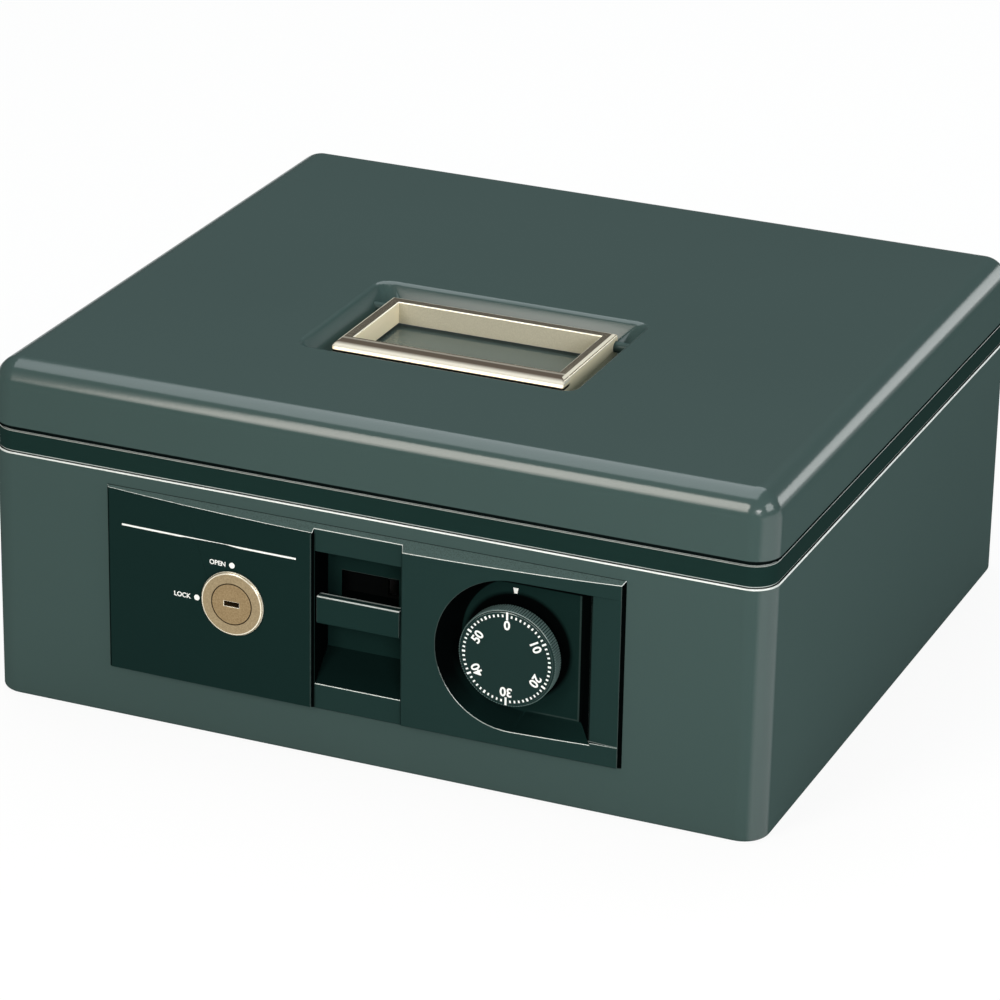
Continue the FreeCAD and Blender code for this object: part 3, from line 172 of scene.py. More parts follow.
def finish_material(name, colours, roughness, cell, depth, metallic=0, coat=0, stretch=(1, 1, 1), fleck=0):
    """A finish with two close tones, a range of roughness and a fine grain in relief. Its gloss comes
    from a clear coat, or from the metal."""
    material = bpy.data.materials.new(name)
    material.use_nodes = True
    nodes, links = material.node_tree.nodes, material.node_tree.links
    surface = nodes["Principled BSDF"]
    surface.inputs["Metallic"].default_value = metallic
    surface.inputs["Specular IOR Level"].default_value = 0
    surface.inputs["Coat Weight"].default_value = coat
    surface.inputs["Coat Roughness"].default_value = COAT_ROUGHNESS
    surface.inputs["Coat IOR"].default_value = COAT_IOR
    grain = nodes.new("ShaderNodeGroup")
    grain.node_tree = GRAIN
    grain.inputs["Cell Size"].default_value = cell
    grain.inputs["Stretch"].default_value = stretch
    tone = nodes.new("ShaderNodeMix")
    tone.data_type = "RGBA"
    tone.inputs["A"].default_value, tone.inputs["B"].default_value = colours
    mixed = nodes.new("ShaderNodeMix")
    mixed.inputs["Factor"].default_value = fleck
    links.new(grain.outputs["Drift"], mixed.inputs["A"])
    links.new(grain.outputs["Height"], mixed.inputs["B"])
    links.new(mixed.outputs["Result"], tone.inputs["Factor"])
    links.new(tone.outputs["Result"], surface.inputs["Base Color"])
    gloss = nodes.new("ShaderNodeMapRange")
    gloss.inputs["To Min"].default_value, gloss.inputs["To Max"].default_value = roughness
    links.new(mixed.outputs["Result"], gloss.inputs["Value"])
    links.new(gloss.outputs["Result"], surface.inputs["Roughness"])
    relief = nodes.new("ShaderNodeBump")
    relief.inputs["Strength"].default_value = 1
    relief.inputs["Distance"].default_value = depth
    links.new(grain.outputs["Height"], relief.inputs["Height"])
    for normal in ("Normal", "Coat Normal"):
        links.new(relief.outputs["Normal"], surface.inputs[normal])
    return material


def facing(material, mask, steep=0.1, level=0.5):
    """One of the facing masks, as a socket in a material."""
    group = material.node_tree.nodes.new("ShaderNodeGroup")
    group.node_tree = FACING
    group.inputs["Steep"].default_value, group.inputs["Level"].default_value = steep, level
    return group.outputs[mask]


def between(material, axis, start, full):
    """A mask that rises along an axis of the piece, from one place to another."""
    nodes, links = material.node_tree.nodes, material.node_tree.links
    split = nodes.new("ShaderNodeSeparateXYZ")
    links.new(nodes.new("ShaderNodeTexCoord").outputs["Object"], split.inputs[0])
    rise = nodes.new("ShaderNodeMapRange")
    rise.inputs["From Min"].default_value, rise.inputs["From Max"].default_value = start, full
    links.new(split.outputs[axis], rise.inputs["Value"])
    return rise.outputs["Result"]


def common(material, first, *others):
    """What several masks have in common."""
    for other in others:
        overlap = material.node_tree.nodes.new("ShaderNodeMath")
        overlap.operation = "MULTIPLY"
        material.node_tree.links.new(first, overlap.inputs[0])
        material.node_tree.links.new(other, overlap.inputs[1])
        first = overlap.outputs["Value"]
    return first


def change_where(material, mask, changes):
    """Moves inputs of the surface to other values where a mask is set."""
    nodes, links = material.node_tree.nodes, material.node_tree.links
    surface = nodes["Principled BSDF"]
    for name, value in changes.items():
        socket = surface.inputs[name]
        blend = nodes.new("ShaderNodeMix")
        blend.data_type = "FLOAT" if isinstance(value, (int, float)) else "RGBA"
        if socket.is_linked:
            links.new(socket.links[0].from_socket, blend.inputs["A"])
        else:
            blend.inputs["A"].default_value = socket.default_value
        blend.inputs["B"].default_value = value
        links.new(mask, blend.inputs["Factor"])
        links.new(blend.outputs["Result"], socket)


def made_plain(piece):
    """Turns a piece's modifiers into its mesh."""
    shown = piece.evaluated_get(bpy.context.evaluated_depsgraph_get())
    piece.data = bpy.data.meshes.new_from_object(shown)
    piece.modifiers.clear()
    return piece


def new_piece(name, mesh, *materials):
    """An object at the origin with its materials."""
    piece = bpy.data.objects.new(name, mesh)
    bpy.context.scene.collection.objects.link(piece)
    mesh.materials.clear()
    for material in materials:
        mesh.materials.append(material)
    return piece


def dress(node, material, edge=0, others=(), pick=None, ease=None, crease=30):
    """A welded, smooth-shaded copy of a CAD node. Its outer edges can be eased by a bevel, whose width
    ease gives from the edge's normal; pick gives the finish of a face from its place and normal."""
    source = frame["nodes"][node]
    weld, sharp, rounds = 0.002 * MM, math.radians(crease), 4
    skin = bmesh.new()
    skin.from_mesh(source.data)
    bmesh.ops.remove_doubles(skin, verts=skin.verts, dist=weld)
    bmesh.ops.dissolve_degenerate(skin, edges=skin.edges, dist=weld)
    weight = skin.edges.layers.float.new("bevel_weight_edge")
    for line in skin.edges:
        if line.is_convex and line.calc_face_angle(0) > sharp:
            normal = sum((face.normal for face in line.link_faces), Vector()).normalized()
            line[weight] = ease(normal) if ease else 1
    mesh = bpy.data.meshes.new(f"{node}_skin")
    skin.to_mesh(mesh)
    skin.free()
    mesh.shade_smooth()
    piece = new_piece(f"{node}_skin", mesh, material, *others)
    if edge:
        eased = piece.modifiers.new("eased_edges", "BEVEL")
        eased.width, eased.segments = edge, rounds
        eased.limit_method = "WEIGHT"
        eased.use_clamp_overlap = False
        eased.material = min(len(others), 1)
        made_plain(piece)
    piece.data.set_sharp_from_angle(angle=sharp)
    level = piece.modifiers.new("flat_faces", "WEIGHTED_NORMAL")
    level.keep_sharp = True
    made_plain(piece)
    if pick:
        for face in piece.data.polygons:
            face.material_index = pick(face.material_index, face.center, face.normal)
    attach(piece, source["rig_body"])
    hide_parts(node)
    return piece


def enamel(name, coat, colours=PAINT, roughness=PAINT_ROUGHNESS):
    """The box's baked enamel."""
    return finish_material(name, colours, roughness, PAINT_GRAIN, PAINT_RELIEF, coat=coat)


ROLL_LEVEL, ROLL_TILT = mm(84, 85), (0.0, 0.3)
CROWN_LEVEL, CROWN_TILT = mm(86, 88), (0.81, 0.89)
body_paint = enamel("body_enamel", PAINT_GLOSS)
# Painted highlight: the rolled upper edge is coloured pale where it looks up.
rolled = common(body_paint, between(body_paint, "Z", *ROLL_LEVEL), facing(body_paint, "Top Edge", *ROLL_TILT))
# Painted shadow: the crown of the body under the rim is near-black, for the gap between rim and body.
crown_shadow = common(body_paint, between(body_paint, "Z", *CROWN_LEVEL), facing(body_paint, "Upward", *CROWN_TILT))
change_where(body_paint, facing(body_paint, "Corner"), {"Coat Weight": ROLL_GLOSS})
change_where(body_paint, rolled, {"Base Color": ROLL_HIGHLIGHT, "Coat Weight": ROLL_GLOSS})
change_where(body_paint, crown_shadow, {"Base Color": JOINT_SHADE, "Coat Weight": 0.0})
dress("body_shell", body_paint)


# Rim: a dark moulded frame that sits on the body's edge and closes the joint to the lid.
# Fine-textured plastic with a rounded upper edge, dropped inside the wall by its skirt; painted highlight lines
# run along its upper edge and its foot.
RIM_PLASTIC = ((0.0085, 0.0255, 0.0225, 1), (0.0070, 0.0215, 0.0190, 1))
RIM_TOP_HIGHLIGHT, RIM_LINE_GLOSS, RIM_LINE_TILT = (0.60, 0.65, 0.63, 1), 0.7, (0.6, 0.8)
RIM_FOOT, RIM_FOOT_RISE, RIM_FOOT_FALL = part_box("body_shell")[1].z, mm(-0.3, -0.1), mm(0.65, 0.5)
RIM_FOOT_HIGHLIGHT = (0.50, 0.55, 0.53, 1)


def band(material, axis, rise, fall, base=0.0):
    """A mask that rises along an axis of the piece and falls again, at places measured from a base."""
    return common(material, *(between(material, axis, base + start, base + full) for start, full in (fall, rise)))


rim_plastic = finish_material("dark_rim_plastic", RIM_PLASTIC, (0.42, 0.52), 0.5 * MM, 0.01 * MM, coat=0.02)
# Painted highlights: pale lines along the rim's upper edge and along its foot.
change_where(rim_plastic, facing(rim_plastic, "Top Edge", *RIM_LINE_TILT),
             {"Base Color": RIM_TOP_HIGHLIGHT, "Coat Weight": RIM_LINE_GLOSS})
change_where(rim_plastic, band(rim_plastic, "Z", RIM_FOOT_RISE, RIM_FOOT_FALL, RIM_FOOT),
             {"Base Color": RIM_FOOT_HIGHLIGHT})
dress("rim_frame", rim_plastic)


# Lock works: plates, slide, wheels, cam, pawl and spring behind the panel, with their cover.
# Turned and stamped steel, plated in zinc; the two plates behind the finger slot are near-black, as painted shade
# seen through the slot.
STEEL = ((0.40, 0.40, 0.39, 1), (0.46, 0.46, 0.44, 1))
SLOT_SHADE_TONE = ((0.0015, 0.0020, 0.0020, 1), (0.0030, 0.0035, 0.0035, 1))
STEEL_GRAIN, STEEL_RELIEF, BRUSHED_UPRIGHT = 0.35 * MM, 0.004 * MM, (1, 1, 0.08)
steel = finish_material("plated_steel", STEEL, (0.30, 0.45), STEEL_GRAIN, STEEL_RELIEF, metallic=1,
                        stretch=BRUSHED_UPRIGHT, fleck=0.5)
slot_shade = finish_material("painted_shade_steel", SLOT_SHADE_TONE, (0.45, 0.60), STEEL_GRAIN, STEEL_RELIEF, fleck=0.5)
LOCK_WORKS = ("cylinder_nut", "lock_cam", "cam_screw", "dial_spindle", "dial_bush", "wheel_front",
              "wheel_rear", "drive_wheel", "spindle_nut", "lock_plate_screws", "slide_guides", "spring_post",
              "latch_spring", "latch_pawl", "pawl_pin", "lock_case", "lock_case_rivets")
for node in LOCK_WORKS:
    dress(node, steel)
# Painted shade: the plates behind the finger slot are coloured near-black.
for node in ("slide_plate", "lock_plate"):
    dress(node, slot_shade)


# Rear hinges: two butt hinges with rolled knuckles, riveted to the rear wall and to the lid.
# The same plated steel as the lock works.
for node in ("hinge_body_leaves", "hinge_lid_leaves", "hinge_pins", "hinge_body_rivets", "hinge_lid_rivets"):
    dress(node, steel)


# Lock panel: a bowed moulding on the front wall with the finger pocket and the dial's well.
# Dark green plastic with a fine spark-eroded grain and painted highlights on its eased edges, screwed on from
# inside.
PANEL_PLASTIC = ((0.0150, 0.0345, 0.0320, 1), (0.0123, 0.0295, 0.0275, 1))
EDGE_HIGHLIGHT_PLASTIC = ((0.42, 0.47, 0.45, 1), (0.22, 0.27, 0.26, 1))
FAINT_HIGHLIGHT_PLASTIC = ((0.044, 0.062, 0.059, 1), (0.032, 0.048, 0.045, 1))
RECESS_SHADE, SIDE_SHADE = (0.0058, 0.0178, 0.0160, 1), (0.0008, 0.0014, 0.0014, 1)
WELL_HIGHLIGHT_LINE, STRIP_HIGHLIGHT_LINE = (0.021, 0.037, 0.034, 1), (0.20, 0.24, 0.23, 1)
SCOOP_SHADE, SCOOP_END_SHADE = (0.0026, 0.0083, 0.0076, 1), (0.0052, 0.0165, 0.0147, 1)
SLOPE_LIGHT, SLOPE_JOINT = (0.060, 0.094, 0.089, 1), (0.016, 0.026, 0.025, 1)
PANEL_GRAIN, PANEL_RELIEF, EDGE_RELIEF = mm(0.45, 0.016, 0.004)
PANEL_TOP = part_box("lock_panel")[1].z


def mottle(material):
    """A mask with the pattern of the material's own grain."""
    nodes, links = material.node_tree.nodes, material.node_tree.links
    grain = next(node for node in nodes if node.type == "GROUP" and node.node_tree == GRAIN)
    spread = nodes.new("ShaderNodeMapRange")
    for socket, value in (("From Min", 0.3), ("From Max", 0.7), ("To Min", 0.7), ("To Max", 1.15)):
        spread.inputs[socket].default_value = value
    links.new(grain.outputs["Height"], spread.inputs["Value"])
    return spread.outputs["Result"]


def around(material, middle, full, gone):
    """A mask round an axis that points to the front, full at one radius and gone at another."""
    nodes, links = material.node_tree.nodes, material.node_tree.links
    flat = nodes.new("ShaderNodeVectorMath")
    flat.operation = "MULTIPLY"
    flat.inputs[1].default_value = (1, 0, 1)
    links.new(nodes.new("ShaderNodeTexCoord").outputs["Object"], flat.inputs[0])
    reach = nodes.new("ShaderNodeVectorMath")
    reach.operation = "DISTANCE"
    reach.inputs[1].default_value = (middle[0], 0, middle[1])
    links.new(flat.outputs["Vector"], reach.inputs[0])
    fall = nodes.new("ShaderNodeMapRange")
    fall.inputs["From Min"].default_value, fall.inputs["From Max"].default_value = gone, full
    links.new(reach.outputs["Value"], fall.inputs["Value"])
    return fall.outputs["Result"]


panel_plastic = finish_material("grained_panel_plastic", PANEL_PLASTIC, (0.42, 0.55), PANEL_GRAIN, PANEL_RELIEF,
                                fleck=0.4)
highlight_edge = finish_material("painted_highlight_edge", EDGE_HIGHLIGHT_PLASTIC, (0.30, 0.40), PANEL_GRAIN, EDGE_RELIEF,
                            coat=1, fleck=0.6)
faint_highlight_edge = finish_material("faint_painted_highlight_edge", FAINT_HIGHLIGHT_PLASTIC, (0.30, 0.40), PANEL_GRAIN, EDGE_RELIEF,
                             fleck=0.4)


def along(axis, places):
    """A mask that rises along an axis of the panel, between two places."""
    return between(panel_plastic, axis, *places)


def tone_panel(tone, *masks):
    """Gives the panel another tone where all the masks are set."""
    change_where(panel_plastic, common(panel_plastic, *masks), {"Base Color": tone})


# Painted shade: the panel is darker in its recesses and on faces turned away from the front.
RECESS = mm(-135.2, -132.5)
tone_panel(RECESS_SHADE, along("Y", RECESS))
tone_panel(SIDE_SHADE, facing(panel_plastic, "Turned"))

# The dial's well: its right side, its brow, its round left side and the floor behind the dial get painted shade,
# the floor as the dial's painted shadow; a thin painted highlight line runs along the floor's right edge and its
# foot.
WELL_DEPTH, WELL_LEFT, WELL_RIGHT = mm(-136.2, -135.4), mm(24, 26), mm(86.2, 85.8)
WELL_EDGE, WELL_SIDE, WELL_BROW = mm(79.4, 79.6), mm(80.0, 80.3), mm(79.7, 80.1)
ARC_MIDDLE, ARC_RADII, ARC_RIGHT, ARC_FOOT = mm(60.15, 57.8), mm(25.0, 24.6), mm(60, 58), mm(40, 44)
SHADE_MIDDLE, SHADE_RADII = mm(56.6, 56.4), mm(19.3, 20.9)
WELL_FOOT_RISE, WELL_FOOT_FALL = mm(32.0, 32.15), mm(32.6, 32.5)
WELL_FOOT_LEFT, WELL_FOOT_RIGHT = mm(60, 68), mm(79.6, 79.4)
in_well = common(panel_plastic, along("Y", WELL_DEPTH), along("X", WELL_LEFT))
beside_strip = along("X", WELL_RIGHT)
tone_panel(WELL_HIGHLIGHT_LINE, in_well, along("X", WELL_EDGE), beside_strip)
tone_panel(SIDE_SHADE, in_well, along("X", WELL_SIDE), beside_strip)
tone_panel(SIDE_SHADE, in_well, along("Z", WELL_BROW), beside_strip)
tone_panel(SIDE_SHADE, in_well, around(panel_plastic, ARC_MIDDLE, *ARC_RADII), along("X", ARC_RIGHT),
           along("Z", ARC_FOOT))
tone_panel(SIDE_SHADE, in_well, around(panel_plastic, SHADE_MIDDLE, *SHADE_RADII))
tone_panel(WELL_HIGHLIGHT_LINE, in_well, band(panel_plastic, "Z", WELL_FOOT_RISE, WELL_FOOT_FALL),
           band(panel_plastic, "X", WELL_FOOT_LEFT, WELL_FOOT_RIGHT))
# Painted highlight: a light line along the lower edge of the strip beside the well.
STRIP_RISE, STRIP_FALL, STRIP_LEFT = mm(27.25, 27.35), mm(27.8, 27.7), mm(82, 83)
tone_panel(STRIP_HIGHLIGHT_LINE, band(panel_plastic, "Z", STRIP_RISE, STRIP_FALL), along("X", STRIP_LEFT))

# Faces that look up: the scoops in the hollows get painted shade, less towards the right, and the slope along the
# panel's top a lighter painted tone for the light it catches; the slope ends in a dark joint at the wall.
UPWARD_TILT, SCOOP_TOP, SCOOP_END, SLOPE_FOOT = (0.15, 0.3), mm(82, 80), mm(58, 88), mm(82, 84)
SLOPE_END = [PANEL_TOP - drop for drop in mm(0.35, 0.25)]
looks_up = facing(panel_plastic, "Upward", *UPWARD_TILT)
scoop = common(panel_plastic, looks_up, along("Z", SCOOP_TOP))
tone_panel(SCOOP_SHADE, scoop)
tone_panel(SCOOP_END_SHADE, scoop, along("X", SCOOP_END))
tone_panel(SLOPE_LIGHT, looks_up, along("Z", SLOPE_FOOT), mottle(panel_plastic))
tone_panel(SLOPE_JOINT, along("Z", SLOPE_END))

# Upright sides get painted shade, and the channel at the left of the finger pocket a painted shadow.
CHANNEL_RISE, CHANNEL_FALL = mm(-21.6, -21.2), mm(-18.6, -19.6)
CHANNEL_TOP = [PANEL_TOP - drop for drop in mm(3, 4)]
tone_panel(SIDE_SHADE, facing(panel_plastic, "Sideways"))
tone_panel(SIDE_SHADE, band(panel_plastic, "X", CHANNEL_RISE, CHANNEL_FALL), along("Z", CHANNEL_TOP))

PANEL_EASE, PANEL_CREASE = 0.2 * MM, 18
PLAIN, HIGHLIT, FAINT = range(3)
TILTED, UNWORN_TOP = 0.2, PANEL_TOP - 0.6 * MM
POCKET_LEFT, POCKET_RIGHT, POCKET_INSIDE = mm(-21.5, 16, -130)


def worn(finish, center, normal):
    """An eased edge gets a bright painted highlight where it looks up, and a faint one where it looks to the
    right.
    In the pocket it gets the faint one where it looks down."""
    if finish == PLAIN or center.z > UNWORN_TOP:
        return PLAIN
    if normal.z > TILTED:
        return HIGHLIT
    if POCKET_LEFT < center.x < POCKET_RIGHT:
        return FAINT if normal.z < -TILTED and center.y > POCKET_INSIDE else PLAIN
    return FAINT if normal.x > TILTED else PLAIN


panel = dress("lock_panel", panel_plastic, PANEL_EASE, (highlight_edge, faint_highlight_edge), worn, crease=PANEL_CREASE)


# Legend plate: a thin smooth sheet let into the panel's left field, round the key cylinder.
# Near-black green, printed in white with a line, two dots and the words for the key's two places.
PLATE = ((0.0075, 0.0212, 0.0194, 1), (0.0068, 0.0195, 0.0178, 1))
PRINT_WHITE = ((0.90, 0.91, 0.89, 1), (0.84, 0.85, 0.83, 1))
PRINT_THICKNESS, RIGHTWARD = 0.12 * MM, 0.5
plate_film = finish_material("smooth_legend_film", PLATE, (0.34, 0.42), 0.8 * MM, 0.004 * MM)
white_ink = finish_material("white_ink", PRINT_WHITE, (0.50, 0.60), 0.3 * MM, 0.004 * MM)


def right_edge(finish, center, normal):
    """Only the edge on the plate's right gets the faint painted highlight."""
    return finish if normal.x > TILTED else PLAIN


legend_plate = dress("legend_plate", plate_film, PANEL_EASE, (faint_highlight_edge,), right_edge,
                     lambda normal: int(normal.x > RIGHTWARD))


def lay_on(mesh, carrier):
    """Lays a flat print, drawn about y = 0, on the front of the piece that carries it."""
    ground = BVHTree.FromObject(carrier, bpy.context.evaluated_depsgraph_get())
    ahead = -1.0
    for vertex in mesh.vertices:
        spot, *_ = ground.ray_cast(Vector((vertex.co.x, ahead, vertex.co.z)), Vector((0, 1, 0)))
        vertex.co.y += spot.y
    mesh.update()


def drawn_words(words, height, weight=0):
    """Words as a thin solid, centred on the origin in the upright front plane."""
    curve = bpy.data.curves.new("words", "FONT")
    curve.body, curve.align_x, curve.align_y = words, "CENTER", "CENTER"
    cap_height = 0.7
    curve.size = height / cap_height
    curve.offset = weight
    curve.extrude = PRINT_THICKNESS / 2
    holder = bpy.data.objects.new("words", curve)
    bpy.context.scene.collection.objects.link(holder)
    mesh = bpy.data.meshes.new_from_object(holder.evaluated_get(bpy.context.evaluated_depsgraph_get()))
    bpy.data.objects.remove(holder)
    mesh.transform(Matrix.Rotation(math.radians(90), 4, "X"))
    spread = [vertex.co.copy() for vertex in mesh.vertices]
    middle_x = (min(co.x for co in spread) + max(co.x for co in spread)) / 2
    middle_z = (min(co.z for co in spread) + max(co.z for co in spread)) / 2
    mesh.transform(Matrix.Translation((-middle_x, 0, -middle_z)))
    return mesh


def drawn_shape(outline):
    """A flat closed outline of (x, z) points as a thin solid."""
    solid = bmesh.new()
    rear = PRINT_THICKNESS / 2
    back, front = ([solid.verts.new((x, y, z)) for x, z in outline] for y in (rear, -rear))
    solid.faces.new(back)
    solid.faces.new(front)
    for corner in range(len(outline)):
        solid.faces.new((back[corner - 1], back[corner], front[corner], front[corner - 1]))
    bmesh.ops.recalc_face_normals(solid, faces=solid.faces)
    mesh = bpy.data.meshes.new("shape")
    solid.to_mesh(mesh)
    solid.free()
    return mesh


def joined(meshes):
    """One mesh from several."""
    whole = bmesh.new()
    for mesh in meshes:
        whole.from_mesh(mesh)
        bpy.data.meshes.remove(mesh)
    mesh = bpy.data.meshes.new("joined")
    whole.to_mesh(mesh)
    whole.free()
    return mesh


def printed(name, meshes, carrier, body):
    """White print on the front of a piece."""
    mesh = joined(meshes)
    lay_on(mesh, carrier)
    piece = new_piece(name, mesh, white_ink)
    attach(piece, body)
    return piece


def moved(mesh, x, z, turn=0):
    """A print turned clockwise about its middle and put in place on the front."""
    mesh.transform(Matrix.Translation((x, 0, z)) @ Matrix.Rotation(turn, 4, "Y"))
    return mesh


DOT_RADIUS, DOT_SIDES = 1.1 * MM, 32
WORD_HEIGHT, WORD_WEIGHT = mm(1.75, 0.05)
OPEN_DOT, OPEN_WORD = mm(-50.95, 69.3), mm(-56.7, 69.3)
LOCK_DOT, LOCK_WORD = mm(-65.1, 54.1), mm(-70.9, 54.1)
LINE_LEFT, LINE_RIGHT, LINE_LEVEL, LINE_WIDTH = mm(-95.2, -25.7, 76.75, 0.7)
LINE_STEPS = 60
dot_turns = [step * math.tau / DOT_SIDES for step in range(DOT_SIDES)]
dot = [(DOT_RADIUS * math.cos(turn), DOT_RADIUS * math.sin(turn)) for turn in dot_turns]
line_x = [LINE_LEFT + (LINE_RIGHT - LINE_LEFT) * step / LINE_STEPS for step in range(LINE_STEPS + 1)]
line_top = [(x, LINE_LEVEL + LINE_WIDTH / 2) for x in line_x]
line_foot = [(x, LINE_LEVEL - LINE_WIDTH / 2) for x in reversed(line_x)]
printed("key_legend", [
    drawn_shape(line_top + line_foot),
    moved(drawn_shape(dot), *OPEN_DOT), moved(drawn_words("OPEN", WORD_HEIGHT, WORD_WEIGHT), *OPEN_WORD),
    moved(drawn_shape(dot), *LOCK_DOT), moved(drawn_words("LOCK", WORD_HEIGHT, WORD_WEIGHT), *LOCK_WORD),
], legend_plate, "box")


# Key cylinder: a flanged barrel with a turning plug, held by a nut behind the wall.
# Cast and plated in champagne, with a fine satin grain on the faces; painted highlights on the bevelled edges and
# painted shade in the gap round the plug.
CHAMPAGNE = ((0.56, 0.45, 0.275, 1), (0.23, 0.165, 0.090, 1))
PLUG_CHAMPAGNE = ((0.52, 0.385, 0.21, 1), (0.19, 0.125, 0.058, 1))
GAP_SHADE_CHAMPAGNE = ((0.050, 0.036, 0.020, 1), (0.030, 0.022, 0.012, 1))
CHAMPAGNE_HIGHLIGHT = ((0.92, 0.87, 0.73, 1), (0.84, 0.77, 0.62, 1))
SATIN, SATIN_GRAIN, SATIN_RELIEF = (0.38, 0.55), 0.42 * MM, 0.03 * MM
FLANGE_EASE, PLUG_EASE, GAP_INSIDE, GAP_OUTSIDE = mm(0.25, 0.15, 6.9, 10)
GAP_EDGE = 2
PLUG_MIDDLE = sum(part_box("lock_plug"), Vector()) / 2
cylinder_metal = finish_material("satin_champagne", CHAMPAGNE, SATIN, SATIN_GRAIN, SATIN_RELIEF,
                                 metallic=1, fleck=0.9)
plug_metal = finish_material("brushed_champagne", PLUG_CHAMPAGNE, SATIN, SATIN_GRAIN, SATIN_RELIEF,
                             metallic=1, fleck=0.9)
highlight_bevel = finish_material("painted_highlight_champagne", CHAMPAGNE_HIGHLIGHT, (0.18, 0.26), 0.28 * MM, EDGE_RELIEF,
                               metallic=0.4)
gap_shade_metal = finish_material("shaded_champagne", GAP_SHADE_CHAMPAGNE, (0.50, 0.60), SATIN_GRAIN, EDGE_RELIEF, fleck=0.5)


def gapped(finish, center, normal):
    """The eased edges on both sides of the gap round the plug get painted shade, the others a painted highlight.
    """
    reach = math.hypot(center.x - PLUG_MIDDLE.x, center.z - PLUG_MIDDLE.z)
    return GAP_EDGE if finish and GAP_INSIDE < reach < GAP_OUTSIDE else finish


dress("lock_cylinder", cylinder_metal, FLANGE_EASE, (highlight_bevel, gap_shade_metal), gapped)
dress("lock_plug", plug_metal, PLUG_EASE, (highlight_bevel, gap_shade_metal), gapped)


# Number dial: a round moulded knob with a finely ribbed rim, fixed on its spindle.
# The same grained plastic as the panel; sixty divisions and six numbers printed in white.
DIAL_LOW, DIAL_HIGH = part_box("dial_knob")
DIAL_X, DIAL_Z = (DIAL_LOW.x + DIAL_HIGH.x) / 2, (DIAL_LOW.z + DIAL_HIGH.z) / 2
DIAL_FACE, DIAL_RADIUS = DIAL_LOW.y, (DIAL_HIGH.x - DIAL_LOW.x) / 2
DIAL_PLASTIC = ((0.0125, 0.0300, 0.0280, 1), (0.0100, 0.0255, 0.0235, 1))
DIAL_EASE, DIAL_FRONT, DIAL_HIGHLIGHT_TILT = 0.15 * MM, DIAL_FACE + MM, 0.45
dial_plastic = finish_material("grained_dial_plastic", DIAL_PLASTIC, (0.42, 0.55), PANEL_GRAIN, PANEL_RELIEF,
                               coat=0.02, fleck=0.4)


def rubbed(finish, center, normal):
    """The front edge gets a bright painted highlight at the top, and a faint one at the right."""
    if finish == PLAIN or center.y > DIAL_FRONT:
        return PLAIN
    return HIGHLIT if normal.z > DIAL_HIGHLIGHT_TILT else FAINT if normal.x > TILTED else PLAIN


dial = dress("dial_knob", dial_plastic, DIAL_EASE, (highlight_edge, faint_highlight_edge), rubbed)


def math_node(tree, operation, first, second=0.0):
    """A math node of a geometry tree, fed by sockets or plain numbers."""
    node = tree.nodes.new("ShaderNodeMath")
    node.operation = operation
    for socket, value in zip(node.inputs, (first, second)):
        if isinstance(value, (int, float)):
            socket.default_value = value
        else:
            tree.links.new(value, socket)
    return node.outputs["Value"]


